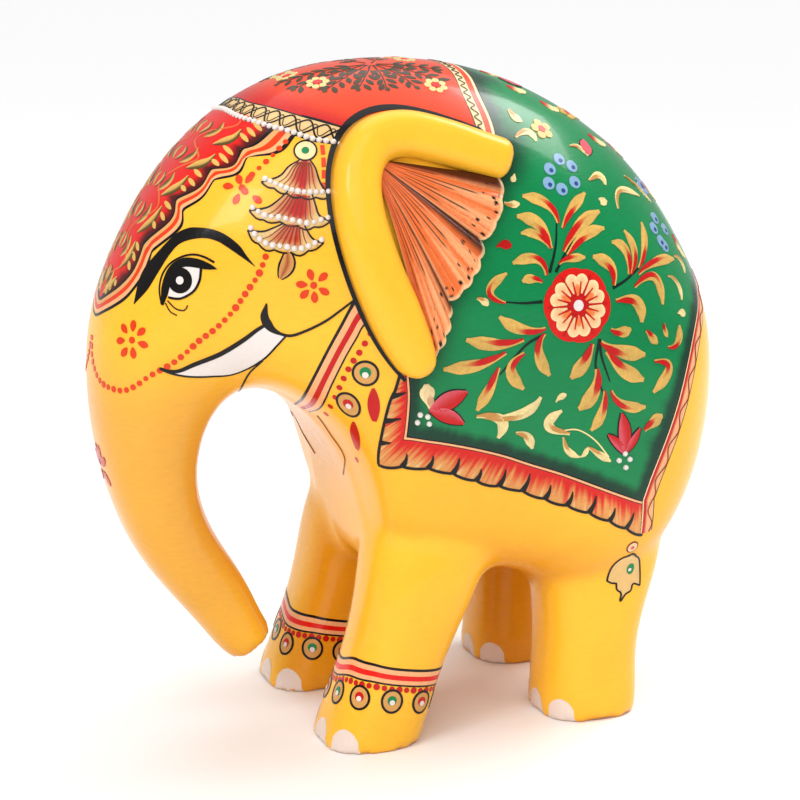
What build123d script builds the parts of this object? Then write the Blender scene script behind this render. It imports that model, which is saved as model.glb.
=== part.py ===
from build123d import *
from math import cos, hypot, pi, sin
import os

# Carved wooden elephant, a free-standing figurine, in millimetres.
# +Z is up, the head points to -X, the left flank faces -Y, and the plane Y = 0 is the carving's plane of
# symmetry.  The origin is the middle of the foot print, on the surface that the four feet stand on.

# ---------------------------------------------------------------- driving dimensions
HALF_POINTS = 10  # steps on each half of a carved section
REACH = 60.0  # longer than any distance from the middle plane to the outside

# Ribs of the main block, from the seat over the back and the head to the tip of the trunk.
# Each one is a closed section across the body: where it meets the outer and the inner side profile (x, z),
# its half width, and how square it is towards the outer and the inner profile (2 is an ellipse).
RIBS = [
    ((49.1, 34.5), (23.1, 34.5), 25.0, 2.5, 2.5),
    ((56.4, 38.0), (20.1, 34.3), 32.0, 2.5, 2.6),
    ((62.9, 48.0), (18.1, 34.3), 35.5, 2.5, 2.6),
    ((68.8, 63.0), (16.1, 34.5), 38.0, 2.4, 2.6),
    ((71.4, 80.0), (13.1, 34.5), 40.0, 2.3, 2.6),
    ((69.5, 97.0), (10.1, 34.5), 41.0, 2.3, 2.6),
    ((62.3, 112.8), (7.1, 34.5), 41.5, 2.2, 2.6),
    ((51.1, 127.5), (3.6, 34.5), 41.5, 2.2, 2.6),
    ((35.1, 139.6), (0.1, 34.5), 41.5, 2.2, 2.6),
    ((17.1, 147.3), (-4.9, 35.0), 41.0, 2.2, 2.6),
    ((-0.9, 150.0), (-12.2, 38.0), 40.0, 2.2, 2.6),
    ((-18.9, 149.0), (-15.0, 47.5), 38.5, 2.2, 2.6),
    ((-34.2, 144.0), (-17.9, 60.0), 36.0, 2.2, 2.6),
    ((-47.4, 134.7), (-23.4, 70.0), 32.5, 2.3, 2.5),
    ((-57.5, 123.2), (-29.9, 76.5), 28.5, 2.3, 2.5),
    ((-65.3, 110.0), (-36.4, 79.5), 24.5, 2.3, 2.4),
    ((-70.6, 96.5), (-42.4, 78.0), 20.5, 2.3, 2.4),
    ((-72.2, 82.0), (-46.9, 72.5), 17.5, 2.3, 2.4),
    ((-71.2, 68.0), (-49.2, 65.0), 15.0, 2.3, 2.4),
    ((-67.8, 54.0), (-49.2, 56.0), 13.2, 2.3, 2.4),
    ((-62.3, 41.5), (-45.9, 46.5), 11.8, 2.3, 2.4),
    ((-54.8, 31.0), (-41.2, 38.5), 10.4, 2.3, 2.4),
    ((-47.8, 22.2), (-36.9, 30.3), 9.2, 2.4, 2.5),
    ((-41.8, 15.6), (-32.9, 22.3), 8.2, 2.5, 2.6),
]

# Legs: sections parallel to the ground, as height, centre x, centre y, half length, half width.
FRONT_LEG = [
    (0.0, -16.2, 20.7, 11.4, 11.8),
    (12.0, -12.2, 20.7, 11.2, 11.7),
    (24.0, -7.7, 20.7, 11.6, 12.0),
    (36.0, -3.6, 20.3, 13.3, 12.6),
    (48.0, 0.2, 18.0, 14.4, 12.8),
    (60.0, 5.1, 14.0, 13.0, 12.0),
]
REAR_LEG = [
    (0.0, 37.5, 20.7, 11.4, 11.6),
    (14.0, 37.9, 20.7, 11.4, 11.6),
    (27.0, 39.1, 20.3, 12.8, 12.3),
    (39.0, 40.9, 18.8, 14.8, 13.0),
    (51.0, 41.6, 16.0, 14.0, 12.5),
    (63.0, 41.1, 13.5, 12.0, 11.0),
]
LEG_SQUARENESS = 2.7

# Ears, as outlines in the side view (x, z).  Each ear is a thick rolled rim with a thinner fan of folds inside it,
# and its back is hollowed to sit on the flank.
EAR_RIM = [
    (11.0, 132.5),
    (8.0, 138.5),
    (0.0, 140.8),
    (-8.0, 142.3),
    (-17.0, 142.8),
    (-24.5, 140.5),
    (-28.6, 134.0),
    (-29.3, 124.0),
    (-27.0, 111.0),
    (-22.5, 98.0),
    (-17.5, 88.5),
    (-13.0, 84.5),
    (-9.5, 87.0),
    (-8.4, 93.0),
    (-11.0, 101.0),
    (-15.0, 111.0),
    (-18.2, 121.0),
    (-18.6, 128.5),
    (-15.0, 133.0),
    (-9.0, 133.5),
    (-2.0, 130.8),
    (8.5, 127.2),
]
EAR_FOLD_EDGES = [(9.0, 129.0), (3.6, 115.5), (-4.4, 103.5), (-8.8, 91.0)]  # ends of the fan's three round lobes
EAR_FAN_ROOT = [(-15.0, 100.0), (-22.0, 116.0), (-22.5, 130.0), (-14.0, 137.0), (-2.0, 135.0)]
EAR_LOBE_BULGE = 1.6  # how far each lobe's edge swells between its ends
EAR_RIM_HEIGHT = 6.5  # how far the rim stands out from the flank
EAR_FAN_HEIGHT = 2.6
EAR_EDGE_ROUNDING = 1.5

# Bamboo pegs that hold the ears and the tail while the glue sets
PEG_DIAMETER = 3.0
PEG_IN_BODY = 9.0
PEG_IN_EAR = 4.0
EAR_PEGS = [(-23.5, 127.0), (-19.5, 101.0)]  # side view position (x, z) of each peg in an ear

# Tail: a slim carved strip on the rump, as height, half width and how far it stands out, from root to tuft
TAIL = [
    (104.0, 2.6, 2.0),
    (96.0, 2.5, 2.0),
    (84.0, 2.1, 1.9),
    (72.0, 2.0, 1.9),
    (64.0, 2.3, 2.0),
    (57.0, 3.3, 2.2),
    (51.0, 2.6, 2.0),
    (47.5, 0.9, 1.4),
]
TAIL_PEG_HEIGHT = 98.0
PEG_IN_TAIL = 1.2


# ---------------------------------------------------------------- section helpers
def bulge(value, power):
    """a cosine or sine, bent into a superellipse's coordinate"""
    return abs(value) ** (2 / power) * (1 if value >= 0 else -1)


def rib_half(outer, inner, half_width, outer_power, inner_power, side):
    """one flank's half of a rib, from the outer side profile to the inner one"""
    points = []
    for i in range(HALF_POINTS + 1):
        a = pi * i / HALF_POINTS
        power = outer_power if cos(a) >= 0 else inner_power
        along = (1 + bulge(cos(a), power)) / 2
        x = inner[0] + (outer[0] - inner[0]) * along
        z = inner[1] + (outer[1] - inner[1]) * along
        points.append((x, side * half_width * bulge(abs(sin(a)), power), z))
    return Spline(*points, tangents=[(0, side, 0), (0, -side, 0)])


def level_section(z, centre_x, centre_y, half_length, half_width, power):
    """closed superellipse, parallel to the ground"""
    points = []
    for i in range(2 * HALF_POINTS):
        a = pi * i / HALF_POINTS
        x = centre_x + half_length * bulge(cos(a), power)
        points.append((x, centre_y + half_width * bulge(sin(a), power), z))
    return Wire([Spline(*points, periodic=True)])


def trunk_and_torso(grown=0.0):
    """closed solid through all the ribs, flat at the seat and at the tip of the trunk, grown outwards on request"""
    ribs = [grown_rib(*rib, grown) for rib in RIBS]
    faces = []
    for side in (1, -1):
        faces += Shell.make_loft([Wire([rib_half(*rib, side)]) for rib in ribs]).faces()
    for rib in (ribs[0], ribs[-1]):
        faces.append(Face(Wire([rib_half(*rib, 1), rib_half(*rib, -1)])))
    return Solid(Shell(Face.sew_faces(faces)[0]))


def grown_rib(outer, inner, half_width, outer_power, inner_power, growth):
    """rib whose outer profile point and flanks have moved outwards"""
    length = hypot(outer[0] - inner[0], outer[1] - inner[1])
    x = outer[0] + (outer[0] - inner[0]) * growth / length
    z = outer[1] + (outer[1] - inner[1]) * growth / length
    return ((x, z), inner, half_width + growth, outer_power, inner_power)


def side_view_prism(wire):
    """side view outline, run out across the left flank"""
    return extrude(Face(wire), REACH, dir=(0, -1, 0))


def ear_rim_outline():
    """closed outline of the rolled rim in the side view"""
    return Wire([Spline(*[(x, 0, z) for x, z in EAR_RIM], periodic=True)])


def ear_fan_outline():
    """outline of the fan: its round lobes, and a root that lies under the rim"""
    edges = []
    for (x0, z0), (x1, z1) in zip(EAR_FOLD_EDGES, EAR_FOLD_EDGES[1:]):
        length = hypot(x1 - x0, z1 - z0)
        middle_x = (x0 + x1) / 2 - (z1 - z0) / length * EAR_LOBE_BULGE
        middle_z = (z0 + z1) / 2 + (x1 - x0) / length * EAR_LOBE_BULGE
        edges.append(ThreePointArc((x0, 0, z0), (middle_x, 0, middle_z), (x1, 0, z1)))
    root = [EAR_FOLD_EDGES[-1], *EAR_FAN_ROOT, EAR_FOLD_EDGES[0]]
    edges.append(Spline(*[(x, 0, z) for x, z in root]))
    return Wire(edges)


def flank_point(body, x, z):
    """point of the left flank at a side view position, and the direction that faces out of it"""
    point, normal = body.find_intersection_points(Axis((x, 0, z), (0, -1, 0)))[-1]
    return point, (normal if normal.Y < 0 else -normal)


def rump_point(body, z):
    """hindmost point of the rump at a height"""
    return body.find_intersection_points(Axis((0, 0, z), (1, 0, 0)))[-1][0]


def peg(surface_point, outward, length_outside):
    """peg square to the surface, part of it in the body and part of it in the piece that it holds"""
    start = surface_point - outward * PEG_IN_BODY
    return Solid.make_cylinder(PEG_DIAMETER / 2, PEG_IN_BODY + length_outside, Plane(start, z_dir=outward))


# ---------------------------------------------------------------- sub-parts
def carved_block():
    """torso, head, trunk and legs, carved from one block"""
    body = trunk_and_torso()
    for leg in (FRONT_LEG, REAR_LEG):
        right = Solid.make_loft([level_section(*section, LEG_SQUARENESS) for section in leg])
        body = body + right + right.mirror(Plane.XZ)
    return body


def ear(body):
    """left ear: rolled rim and folded fan, carved in one piece and hollowed behind to fit the flank"""
    rim = side_view_prism(ear_rim_outline()) & trunk_and_torso(EAR_RIM_HEIGHT)
    front = rim.edges().sort_by(Edge.length)[-1]
    rim = rim.fillet(EAR_EDGE_ROUNDING, [front])
    fan = side_view_prism(ear_fan_outline()) & trunk_and_torso(EAR_FAN_HEIGHT)
    return rim + fan - body


def tail_strip(body):
    """slim tail with a tuft, laid on the middle of the rump"""
    sections = []
    for z, half_width, height in TAIL:
        sections.append(level_section(z, rump_point(body, z).X, 0, height, half_width, 2))
    return Solid.make_loft(sections) - body


# ---------------------------------------------------------------- the assembly
block = carved_block()
left_ear = ear(block)
tail = tail_strip(block)
left_pegs = [peg(*flank_point(block, x, z), PEG_IN_EAR) for x, z in EAR_PEGS]
right_pegs = [left.mirror(Plane.XZ) for left in left_pegs]
tail_peg = peg(rump_point(block, TAIL_PEG_HEIGHT), Vector(1, 0, 0), PEG_IN_TAIL)

parts = {
    "carved_body": block - left_pegs - right_pegs - tail_peg,
    "left_ear": left_ear - left_pegs,
    "right_ear": left_ear.mirror(Plane.XZ) - right_pegs,
    "left_ear_pegs": Compound(left_pegs),
    "right_ear_pegs": Compound(right_pegs),
    "tail": tail - tail_peg,
    "tail_peg": tail_peg,
}

os.makedirs("parts", exist_ok=True)
for name, shape in parts.items():
    export_step(shape, f"parts/{name}.step")
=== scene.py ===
import math

import bpy
import numpy as np
import openvdb
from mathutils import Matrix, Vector
from mathutils.bvhtree import BVHTree


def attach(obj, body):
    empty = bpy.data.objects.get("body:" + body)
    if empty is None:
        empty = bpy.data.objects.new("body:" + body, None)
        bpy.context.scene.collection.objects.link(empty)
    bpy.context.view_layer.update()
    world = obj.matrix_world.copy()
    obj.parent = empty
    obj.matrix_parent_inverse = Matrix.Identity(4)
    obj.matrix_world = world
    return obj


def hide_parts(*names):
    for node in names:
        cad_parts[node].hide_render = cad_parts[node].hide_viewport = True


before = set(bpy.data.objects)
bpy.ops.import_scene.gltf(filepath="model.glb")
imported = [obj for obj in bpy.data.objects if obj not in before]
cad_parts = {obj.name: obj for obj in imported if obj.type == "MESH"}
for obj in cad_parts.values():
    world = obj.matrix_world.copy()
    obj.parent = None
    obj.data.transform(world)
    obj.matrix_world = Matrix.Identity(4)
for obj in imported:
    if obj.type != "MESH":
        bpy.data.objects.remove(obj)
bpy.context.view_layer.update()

# Lengths in this script are millimetres and become metres where a mesh is made.  The frame is the CAD
# model's: the head points to -X, the left flank faces -Y, and Y = 0 is the plane of symmetry.  A painted
# motif is a thin coat of its own that lies on the carved surface.  Its places are given in the side view
# (x, z) of the left flank, or as points (x, y, z) near the surface.  The right flank gets the mirror image.
MM = 0.001
MIRROR = np.array([1, -1, 1])
rng = np.random.default_rng(7)

# ---------------------------------------------------------------- colours


def srgb(red, green, blue):
    """linear colour from the usual 0 to 255 values"""
    out = []
    for value in (red, green, blue):
        c = value / 255
        out.append(c / 12.92 if c <= 0.04045 else ((c + 0.055) / 1.055) ** 2.4)
    return np.array(out)


YELLOW = srgb(247, 183, 46)
# painted shade of the body's yellow, used on the trunk
SHADED_YELLOW = srgb(222, 158, 60)
AMBER = srgb(218, 136, 14)
BLACK = srgb(10, 7, 6)
WHITE = srgb(224, 214, 208)
CREAM = srgb(240, 214, 160)
TAN = srgb(208, 152, 82)
GOLD = srgb(216, 172, 88)
PALE_GOLD = srgb(236, 214, 150)
RED = srgb(190, 16, 14)
BRIGHT_RED = srgb(220, 24, 14)
ORANGE_RED = srgb(216, 58, 10)
ORANGE = srgb(232, 122, 60)
PEACH = srgb(236, 170, 118)
RUST = srgb(150, 52, 22)
MAROON = srgb(70, 12, 12)
OLIVE = srgb(84, 66, 24)
GREEN = srgb(0, 124, 68)
DEEP_GREEN = srgb(2, 40, 30)
BLUE = srgb(124, 158, 190)
DEEP_BLUE = srgb(34, 64, 120)
PINK = srgb(206, 84, 96)


def mixed(a, b, share):
    """colour between two, for a number or an array of shares"""
    share = np.clip(np.asarray(share, float), 0, 1)[..., None]
    return a * (1 - share) + b * share


def ease(low, high, value):
    """0 below low, 1 above high and a smooth step between"""
    t = np.clip((value - low) / (high - low), 0, 1)
    return t * t * (3 - 2 * t)


# ---------------------------------------------------------------- the carved surface


def node_mesh(name):
    """corner points and triangles of a CAD node, in millimetres"""
    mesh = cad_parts[name].data
    mesh.calc_loop_triangles()
    points = np.empty(len(mesh.vertices) * 3, np.float32)
    mesh.vertices.foreach_get("co", points)
    triangles = np.empty(len(mesh.loop_triangles) * 3, np.int32)
    mesh.loop_triangles.foreach_get("vertices", triangles)
    return points.reshape(-1, 3) / MM, triangles.reshape(-1, 3)


def level_set_shell(points, faces, voxel, distance):
    """quads of the surface that lies a distance outside (or, below zero, inside) a closed mesh"""
    kind = "triangles" if faces.shape[1] == 3 else "quads"
    grid = openvdb.FloatGrid.createLevelSetFromPolygons(
        np.ascontiguousarray(points, np.float32),
        transform=openvdb.createLinearTransform(voxelSize=voxel),
        halfWidth=abs(distance) / voxel + 3,
        **{kind: np.ascontiguousarray(faces, np.uint32)},
    )
    return grid.convertToQuads(isovalue=distance)


def smoothed(points, quads, rounds, weight):
    """points moved towards the middle of their neighbours"""
    corners = [quads[:, [0, 1]], quads[:, [1, 2]], quads[:, [2, 3]], quads[:, [3, 0]]]
    edges = np.concatenate(corners)
    count = np.bincount(edges.ravel(), minlength=len(points))[:, None]
    for _ in range(rounds):
        total = np.zeros_like(points)
        for axis in range(3):
            total[:, axis] = np.bincount(edges[:, 0], points[edges[:, 1], axis], len(points))
            total[:, axis] += np.bincount(edges[:, 1], points[edges[:, 0], axis], len(points))
        points = points + weight * (total / count - points)
    return points


def carved_body_mesh():
    """the CAD body with every inner corner rounded, as a ball rolled along it would leave it"""
    voxel = 0.95
    ball = 5.5
    points, triangles = node_mesh("carved_body")
    points, quads = level_set_shell(points, triangles, voxel, ball)
    points, quads = level_set_shell(points, quads, voxel, -ball)
    points = smoothed(points.astype(float), quads, rounds=4, weight=0.5)
    points[:, 2] = np.maximum(points[:, 2], 0)
    return points, quads[:, ::-1].astype(int)


def vertex_normals(points, quads):
    """normals of a quad mesh, averaged at its points"""
    across = np.cross(points[quads[:, 2]] - points[quads[:, 0]], points[quads[:, 3]] - points[quads[:, 1]])
    normals = np.zeros_like(points)
    for corner in range(4):
        for axis in range(3):
            normals[:, axis] += np.bincount(quads[:, corner], across[:, axis], len(points))
    return normals / np.linalg.norm(normals, axis=1)[:, None]


OUTSIDE = 80.0  # how far from the plane of symmetry a line across the left flank starts
MISS = 70.0  # longest way from where a line starts to the surface, past which it counts as a miss


class Skin:
    """the carved surface that paint is laid on"""

    def __init__(self, points, quads):
        self.points, self.quads = points, quads
        self.normals = vertex_normals(points, quads)
        self.tree = BVHTree.FromPolygons(points.tolist(), quads.tolist())

    def normals_at(self, places, faces):
        """smooth normals at places on the given quads"""
        corners = self.quads[faces]
        away = np.linalg.norm(self.points[corners] - places[:, None], axis=2)
        weight = 1 / (away**2 + 1e-4)
        normals = (self.normals[corners] * weight[..., None]).sum(1)
        return normals / np.linalg.norm(normals, axis=1)[:, None]

    def snap(self, points):
        """nearest places on the surface, and the normals there"""
        hits = [self.tree.find_nearest(p) for p in np.asarray(points, float).tolist()]
        places = np.array([h[0][:] for h in hits])
        return places, self.normals_at(places, np.array([h[2] for h in hits]))

    def nearest(self, points):
        """nearest places on the surface"""
        return self.snap(points)[0]

    def cast(self, starts, direction):
        """places where straight lines meet the surface; a line that misses goes to the place it passes by"""
        out = []
        for start in np.asarray(starts, float).tolist():
            hit = self.tree.ray_cast(start, direction, MISS)[0]
            if hit is None:
                beyond = Vector(start) + Vector(direction) * MISS
                hit = self.tree.find_nearest(beyond)[0]
            out.append(hit[:])
        return np.array(out)


def flank(points):
    """places on the left flank under points of the side view (x, z)"""
    points = np.atleast_2d(np.asarray(points, float))
    starts = np.stack([points[:, 0], np.full(len(points), -OUTSIDE), points[:, 1]], 1)
    return skin.cast(starts, (0, 1, 0))


def on_flank(x, z):
    """one place on the left flank"""
    return flank([(x, z)])[0]


def curve(points, spacing=0.6):
    """smooth line through control points, with even steps"""
    p = np.asarray(points, float)
    if len(p) == 2:
        dense = p[0] + (p[1] - p[0]) * np.linspace(0, 1, 50)[:, None]
    else:
        ends = np.concatenate([[2 * p[0] - p[1]], p, [2 * p[-1] - p[-2]]])
        t = np.linspace(0, 1, 24, endpoint=False)[:, None]
        parts = []
        for a, b, c, d in zip(ends, ends[1:], ends[2:], ends[3:]):
            part = 2 * b + (c - a) * t + (2 * a - 5 * b + 4 * c - d) * t**2
            parts.append(0.5 * (part + (3 * b - a - 3 * c + d) * t**3))
        dense = np.concatenate([*parts, p[-1:]])
    return resampled(dense, spacing)


def resampled(line, spacing=0.6, count=None):
    """line with even steps of about the given length"""
    steps = np.linalg.norm(np.diff(line, axis=0), axis=1)
    along = np.concatenate([[0], np.cumsum(steps)])
    count = count or max(3, int(round(along[-1] / spacing)) + 1)
    wanted = np.linspace(0, along[-1], count)
    return np.stack([np.interp(wanted, along, line[:, axis]) for axis in range(line.shape[1])], 1)


def laid(points, count):
    """smooth line through points near the surface, laid on it with the given number of places"""
    return resampled(skin.nearest(curve(points)), count=count)


def swell(first, last, count):
    """widths of a brush stroke that swells and thins out, for a stretch of half a wave"""
    return np.sin(math.pi * np.linspace(first, last, count))


def smooth_rows(rows, rounds):
    """rows evened out along their sequence, with both ends kept"""
    out = rows.copy()
    for _ in range(rounds):
        out[1:-1] = (out[:-2] + 2 * out[1:-1] + out[2:]) / 4
    return out


def grid_quads(index):
    """quads between the rows and columns of a grid of point numbers"""
    return np.stack([index[:-1, :-1], index[:-1, 1:], index[1:, 1:], index[1:, :-1]], -1).reshape(-1, 4)


STAMP_LIFT = 12  # how far above the surface a stamp is held before it is pressed on


class Stamp:
    """flat drawing board that touches the surface at one place; what is drawn on it is pressed straight on"""

    def __init__(self, anchor):
        place, normal = skin.snap([anchor])
        self.place, self.normal = place[0], normal[0]
        up = np.array([0.0, 0.0, 1.0])
        self.up = up - self.normal * (up @ self.normal)
        self.up /= np.linalg.norm(self.up)
        self.right = np.cross(self.up, self.normal)

    def at(self, drawing):
        """places on the surface under points (to the right, up) of the drawing"""
        drawing = np.atleast_2d(np.asarray(drawing, float))
        board = self.place + drawing[:, :1] * self.right + drawing[:, 1:] * self.up
        return skin.cast(board + STAMP_LIFT * self.normal, tuple(-self.normal))


# ---------------------------------------------------------------- pieces and coats of paint


def new_piece(name, points, faces, material, colours, normals=None):
    """one object of the visual model; faces are lists of point numbers, with one colour for each point"""
    mesh = bpy.data.meshes.new(name)
    mesh.from_pydata((points * MM).tolist(), [], faces)
    mesh.polygons.foreach_set("use_smooth", np.ones(len(mesh.polygons), bool))
    attribute = mesh.color_attributes.new("paint", "FLOAT_COLOR", "POINT")
    rgba = np.concatenate([colours, np.ones((len(colours), 1))], 1)
    attribute.data.foreach_set("color", rgba.ravel())
    if normals is not None:
        mesh.normals_split_custom_set_from_vertices(normals.tolist())
    mesh.materials.append(material)
    piece = bpy.data.objects.new(name, mesh)
    bpy.context.collection.objects.link(piece)
    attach(piece, "root")
    return piece


BASE, LOWER, MIDDLE, UPPER, TOP = 0.1, 0.14, 0.18, 0.26, 0.34  # heights of the coats above the wood
EDGE_DEPTH = 0.25  # how far a coat's edge goes down into the surface
PIN = 0.01  # radius of the innermost ring of a round spot
BEAD_LEVELS = (0.0, 0.35, 0.65, 0.87, 1.0)  # rings of a bead, as shares of its radius
BEAD_HEIGHT = 0.8  # height of a bead, as a share of its radius


class Coat:
    """thin coat of paint: patches a little above the carved surface, with their edges closed down to it"""

    def __init__(self, lift):
        self.lift = lift
        self.points, self.normals, self.colours, self.faces = [], [], [], []
        self.count = 0

    def patch(self, grid, colours, lift=None):
        """grid of places near the surface; colours fit its rows and columns"""
        rows, columns = grid.shape[:2]
        places, normals = skin.snap(grid.reshape(-1, 3))
        colours = np.broadcast_to(colours, (rows, columns, 3)).reshape(-1, 3)
        index = np.arange(rows * columns).reshape(rows, columns)
        quads = grid_quads(index)
        middle = quads[len(quads) // 2]
        facing = np.cross(places[middle[2]] - places[middle[0]], places[middle[3]] - places[middle[1]])
        facing = facing @ normals[middle[0]]
        if facing < 0:
            quads = quads[:, ::-1]
        rim = np.concatenate([index[0], index[1:, -1], index[-1, -2::-1], index[-2:0:-1, 0]])
        top = places + normals * (lift or self.lift)
        low = places[rim] - normals[rim] * EDGE_DEPTH
        ring = rows * columns + np.arange(len(rim))
        wall = np.stack([rim, np.roll(rim, -1), np.roll(ring, -1), ring], -1)
        if facing > 0:
            wall = wall[:, ::-1]
        self.points += [top, low]
        self.normals += [normals, normals[rim]]
        self.colours += [colours, colours[rim]]
        self.faces += [quads + self.count, wall + self.count]
        self.count += len(top) + len(low)

    def between(self, one, other, colours, rows=4, lift=None):
        """patch between two lines on the surface"""
        count = max(len(one), len(other))
        one, other = resampled(one, count=count), resampled(other, count=count)
        share = np.linspace(0, 1, rows)[:, None, None]
        self.patch(one * (1 - share) + other * share, colours, lift)

    def stroke(self, line, width, colours, columns=3, lift=None, shift=0.0):
        """brush stroke along a line; width is a number or one per point, and shift moves it sideways"""
        places, normals = skin.snap(line)
        sideways = np.cross(normals, np.gradient(places, axis=0))
        sideways /= np.linalg.norm(sideways, axis=1)[:, None] + 1e-9
        half = np.broadcast_to(width, len(line))[:, None, None] / 2
        across = np.linspace(-1, 1, columns)[None, :, None]
        grid = places[:, None] + sideways[:, None] * (shift + half * across)
        colours = np.asarray(colours)
        if colours.ndim == 2:
            colours = colours[:, None]
        self.patch(grid, colours, lift)

    def disc(self, stamp, centre, radii, colours, squash=1.0, turn=0.0, lift=None):
        """round spot in rings, in one colour or one for each ring from the middle outwards"""
        angles = np.linspace(0, 2 * math.pi, 25)
        cos, sin = math.cos(turn), math.sin(turn)
        rings = []
        for radius in (PIN, *radii):
            u, v = radius * np.cos(angles), radius * squash * np.sin(angles)
            rings.append(np.stack([u * cos - v * sin, u * sin + v * cos], 1))
        drawing = np.concatenate(rings) + np.asarray(centre, float)
        grid = stamp.at(drawing).reshape(len(rings), len(angles), 3)
        self.patch(grid, np.asarray(colours).reshape(-1, 1, 3), lift)

    def spot(self, place, radius, colour, lift=None):
        """small plain dot at a place on the surface"""
        self.disc(Stamp(place), (0, 0), (radius * 0.6, radius), colour, lift=lift)

    def bead(self, place, radius, colour=WHITE):
        """raised drop of thick paint"""
        stamp = Stamp(place)
        angles = np.linspace(0, 2 * math.pi, 11)
        base = stamp.place + stamp.normal * self.lift
        rings, normals = [], []
        for level in BEAD_LEVELS:
            height = math.sqrt(1 - level**2) * BEAD_HEIGHT
            for angle in angles:
                out = math.cos(angle) * stamp.right + math.sin(angle) * stamp.up
                rings.append(base + radius * (level * out + height * stamp.normal))
                normals.append(level * out + (height + 0.05) * stamp.normal)
        index = np.arange(len(rings)).reshape(len(BEAD_LEVELS), len(angles))
        quads = grid_quads(index)[:, [0, 3, 2, 1]]
        low = np.array(rings[-len(angles):]) - stamp.normal * (EDGE_DEPTH + self.lift)
        ring = len(rings) + np.arange(len(angles))
        wall = np.stack([index[-1, :-1], ring[:-1], ring[1:], index[-1, 1:]], -1)
        self.points += [np.array(rings), low]
        unit = np.array(normals)
        unit /= np.linalg.norm(unit, axis=1)[:, None]
        self.normals += [unit, unit[-len(angles):]]
        self.colours += [np.broadcast_to(colour, (len(rings), 3)), np.broadcast_to(colour, (len(angles), 3))]
        self.faces += [quads + self.count, wall + self.count]
        self.count += len(rings) + len(angles)

    def pieces(self, name, *look):
        """the coat as a piece on the left and its mirror image on the right, in lacquer of the given look"""
        paint = lacquer(name + "_paint", *look)
        points, normals = np.concatenate(self.points), np.concatenate(self.normals)
        colours, faces = np.concatenate(self.colours), np.concatenate(self.faces)
        new_piece(name + "_left", points, faces.tolist(), paint, colours, normals)
        points, normals, faces = points * MIRROR, normals * MIRROR, faces[:, ::-1]
        new_piece(name + "_right", points, faces.tolist(), paint, colours, normals)


# ---------------------------------------------------------------- materials


def new_material(name):
    """material with its shader node"""
    material = bpy.data.materials.new(name)
    material.use_nodes = True
    return material, material.node_tree.nodes["Principled BSDF"]


def add_node(material, kind, values, operation=None):
    """shader node with plain values on some of its inputs"""
    node = material.node_tree.nodes.new("ShaderNode" + kind)
    if operation:
        node.operation = operation
    for name, value in values.items():
        node.inputs[name].default_value = value
    return node


def add_ramp(material, stops):
    """colour ramp between two stops: (position, colour)"""
    ramp = add_node(material, "ValToRGB", {})
    for element, (position, colour) in zip(ramp.color_ramp.elements, stops):
        element.position = position
        element.color = (*colour, 1)
    return ramp


def lacquer(name, variation=0.12, streak=(260, 260, 60), roughness=0.24):
    """glossy hand laid paint: the coat's colour with brush streaks, faint unevenness and a clear top coat"""
    m, shader = new_material(name)
    link = m.node_tree.links.new
    colour = add_node(m, "Attribute", {})
    colour.attribute_name = "paint"
    place = add_node(m, "TexCoord", {})
    stretch = add_node(m, "Mapping", {"Scale": streak})
    brush = add_node(m, "TexNoise", {"Scale": 7, "Detail": 6, "Roughness": 0.62})
    cloud = add_node(m, "TexNoise", {"Scale": 42, "Detail": 3})
    link(place.outputs["Object"], stretch.inputs["Vector"])
    link(stretch.outputs["Vector"], brush.inputs["Vector"])
    link(place.outputs["Object"], cloud.inputs["Vector"])
    both = add_node(m, "Math", {}, "ADD")
    link(brush.outputs["Fac"], both.inputs[0])
    link(cloud.outputs["Fac"], both.inputs[1])
    dark, light = 1 - variation, 1 + variation * 0.6
    shade = add_node(m, "MapRange", {"From Min": 0.6, "From Max": 1.4, "To Min": dark, "To Max": light})
    link(both.outputs[0], shade.inputs["Value"])
    tint = add_node(m, "VectorMath", {}, "SCALE")
    link(colour.outputs["Color"], tint.inputs[0])
    link(shade.outputs["Result"], tint.inputs["Scale"])
    link(tint.outputs["Vector"], shader.inputs["Base Color"])
    rough = add_node(m, "MapRange", {"To Min": roughness - 0.07, "To Max": roughness + 0.1})
    link(cloud.outputs["Fac"], rough.inputs["Value"])
    link(rough.outputs["Result"], shader.inputs["Roughness"])
    bump = add_node(m, "Bump", {"Strength": 0.12, "Distance": 0.0004})
    link(brush.outputs["Fac"], bump.inputs["Height"])
    link(bump.outputs["Normal"], shader.inputs["Normal"])
    for name, value in (("Specular IOR Level", 0.14), ("Coat Weight", 0.26), ("Coat Roughness", 0.09)):
        shader.inputs[name].default_value = value
    return m


def tail_material():
    """yellow paint that turns into a dark brush of hair at the tail's end"""
    m = lacquer("tail_paint")
    link = m.node_tree.links.new
    place = add_node(m, "TexCoord", {})
    parts = add_node(m, "SeparateXYZ", {})
    noise = add_node(m, "TexNoise", {"Scale": 500})
    ragged = add_node(m, "Math", {1: 0.01}, "MULTIPLY_ADD")
    link(place.outputs["Object"], parts.inputs["Vector"])
    link(place.outputs["Object"], noise.inputs["Vector"])
    link(noise.outputs["Fac"], ragged.inputs[0])
    link(parts.outputs["Z"], ragged.inputs[2])
    ramp = add_ramp(m, ((0.066, BLACK), (0.069, YELLOW)))
    link(ragged.outputs[0], ramp.inputs["Fac"])
    tint = next(n for n in m.node_tree.nodes if n.type == "VECT_MATH")
    link(ramp.outputs["Color"], tint.inputs[0])
    return m


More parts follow.
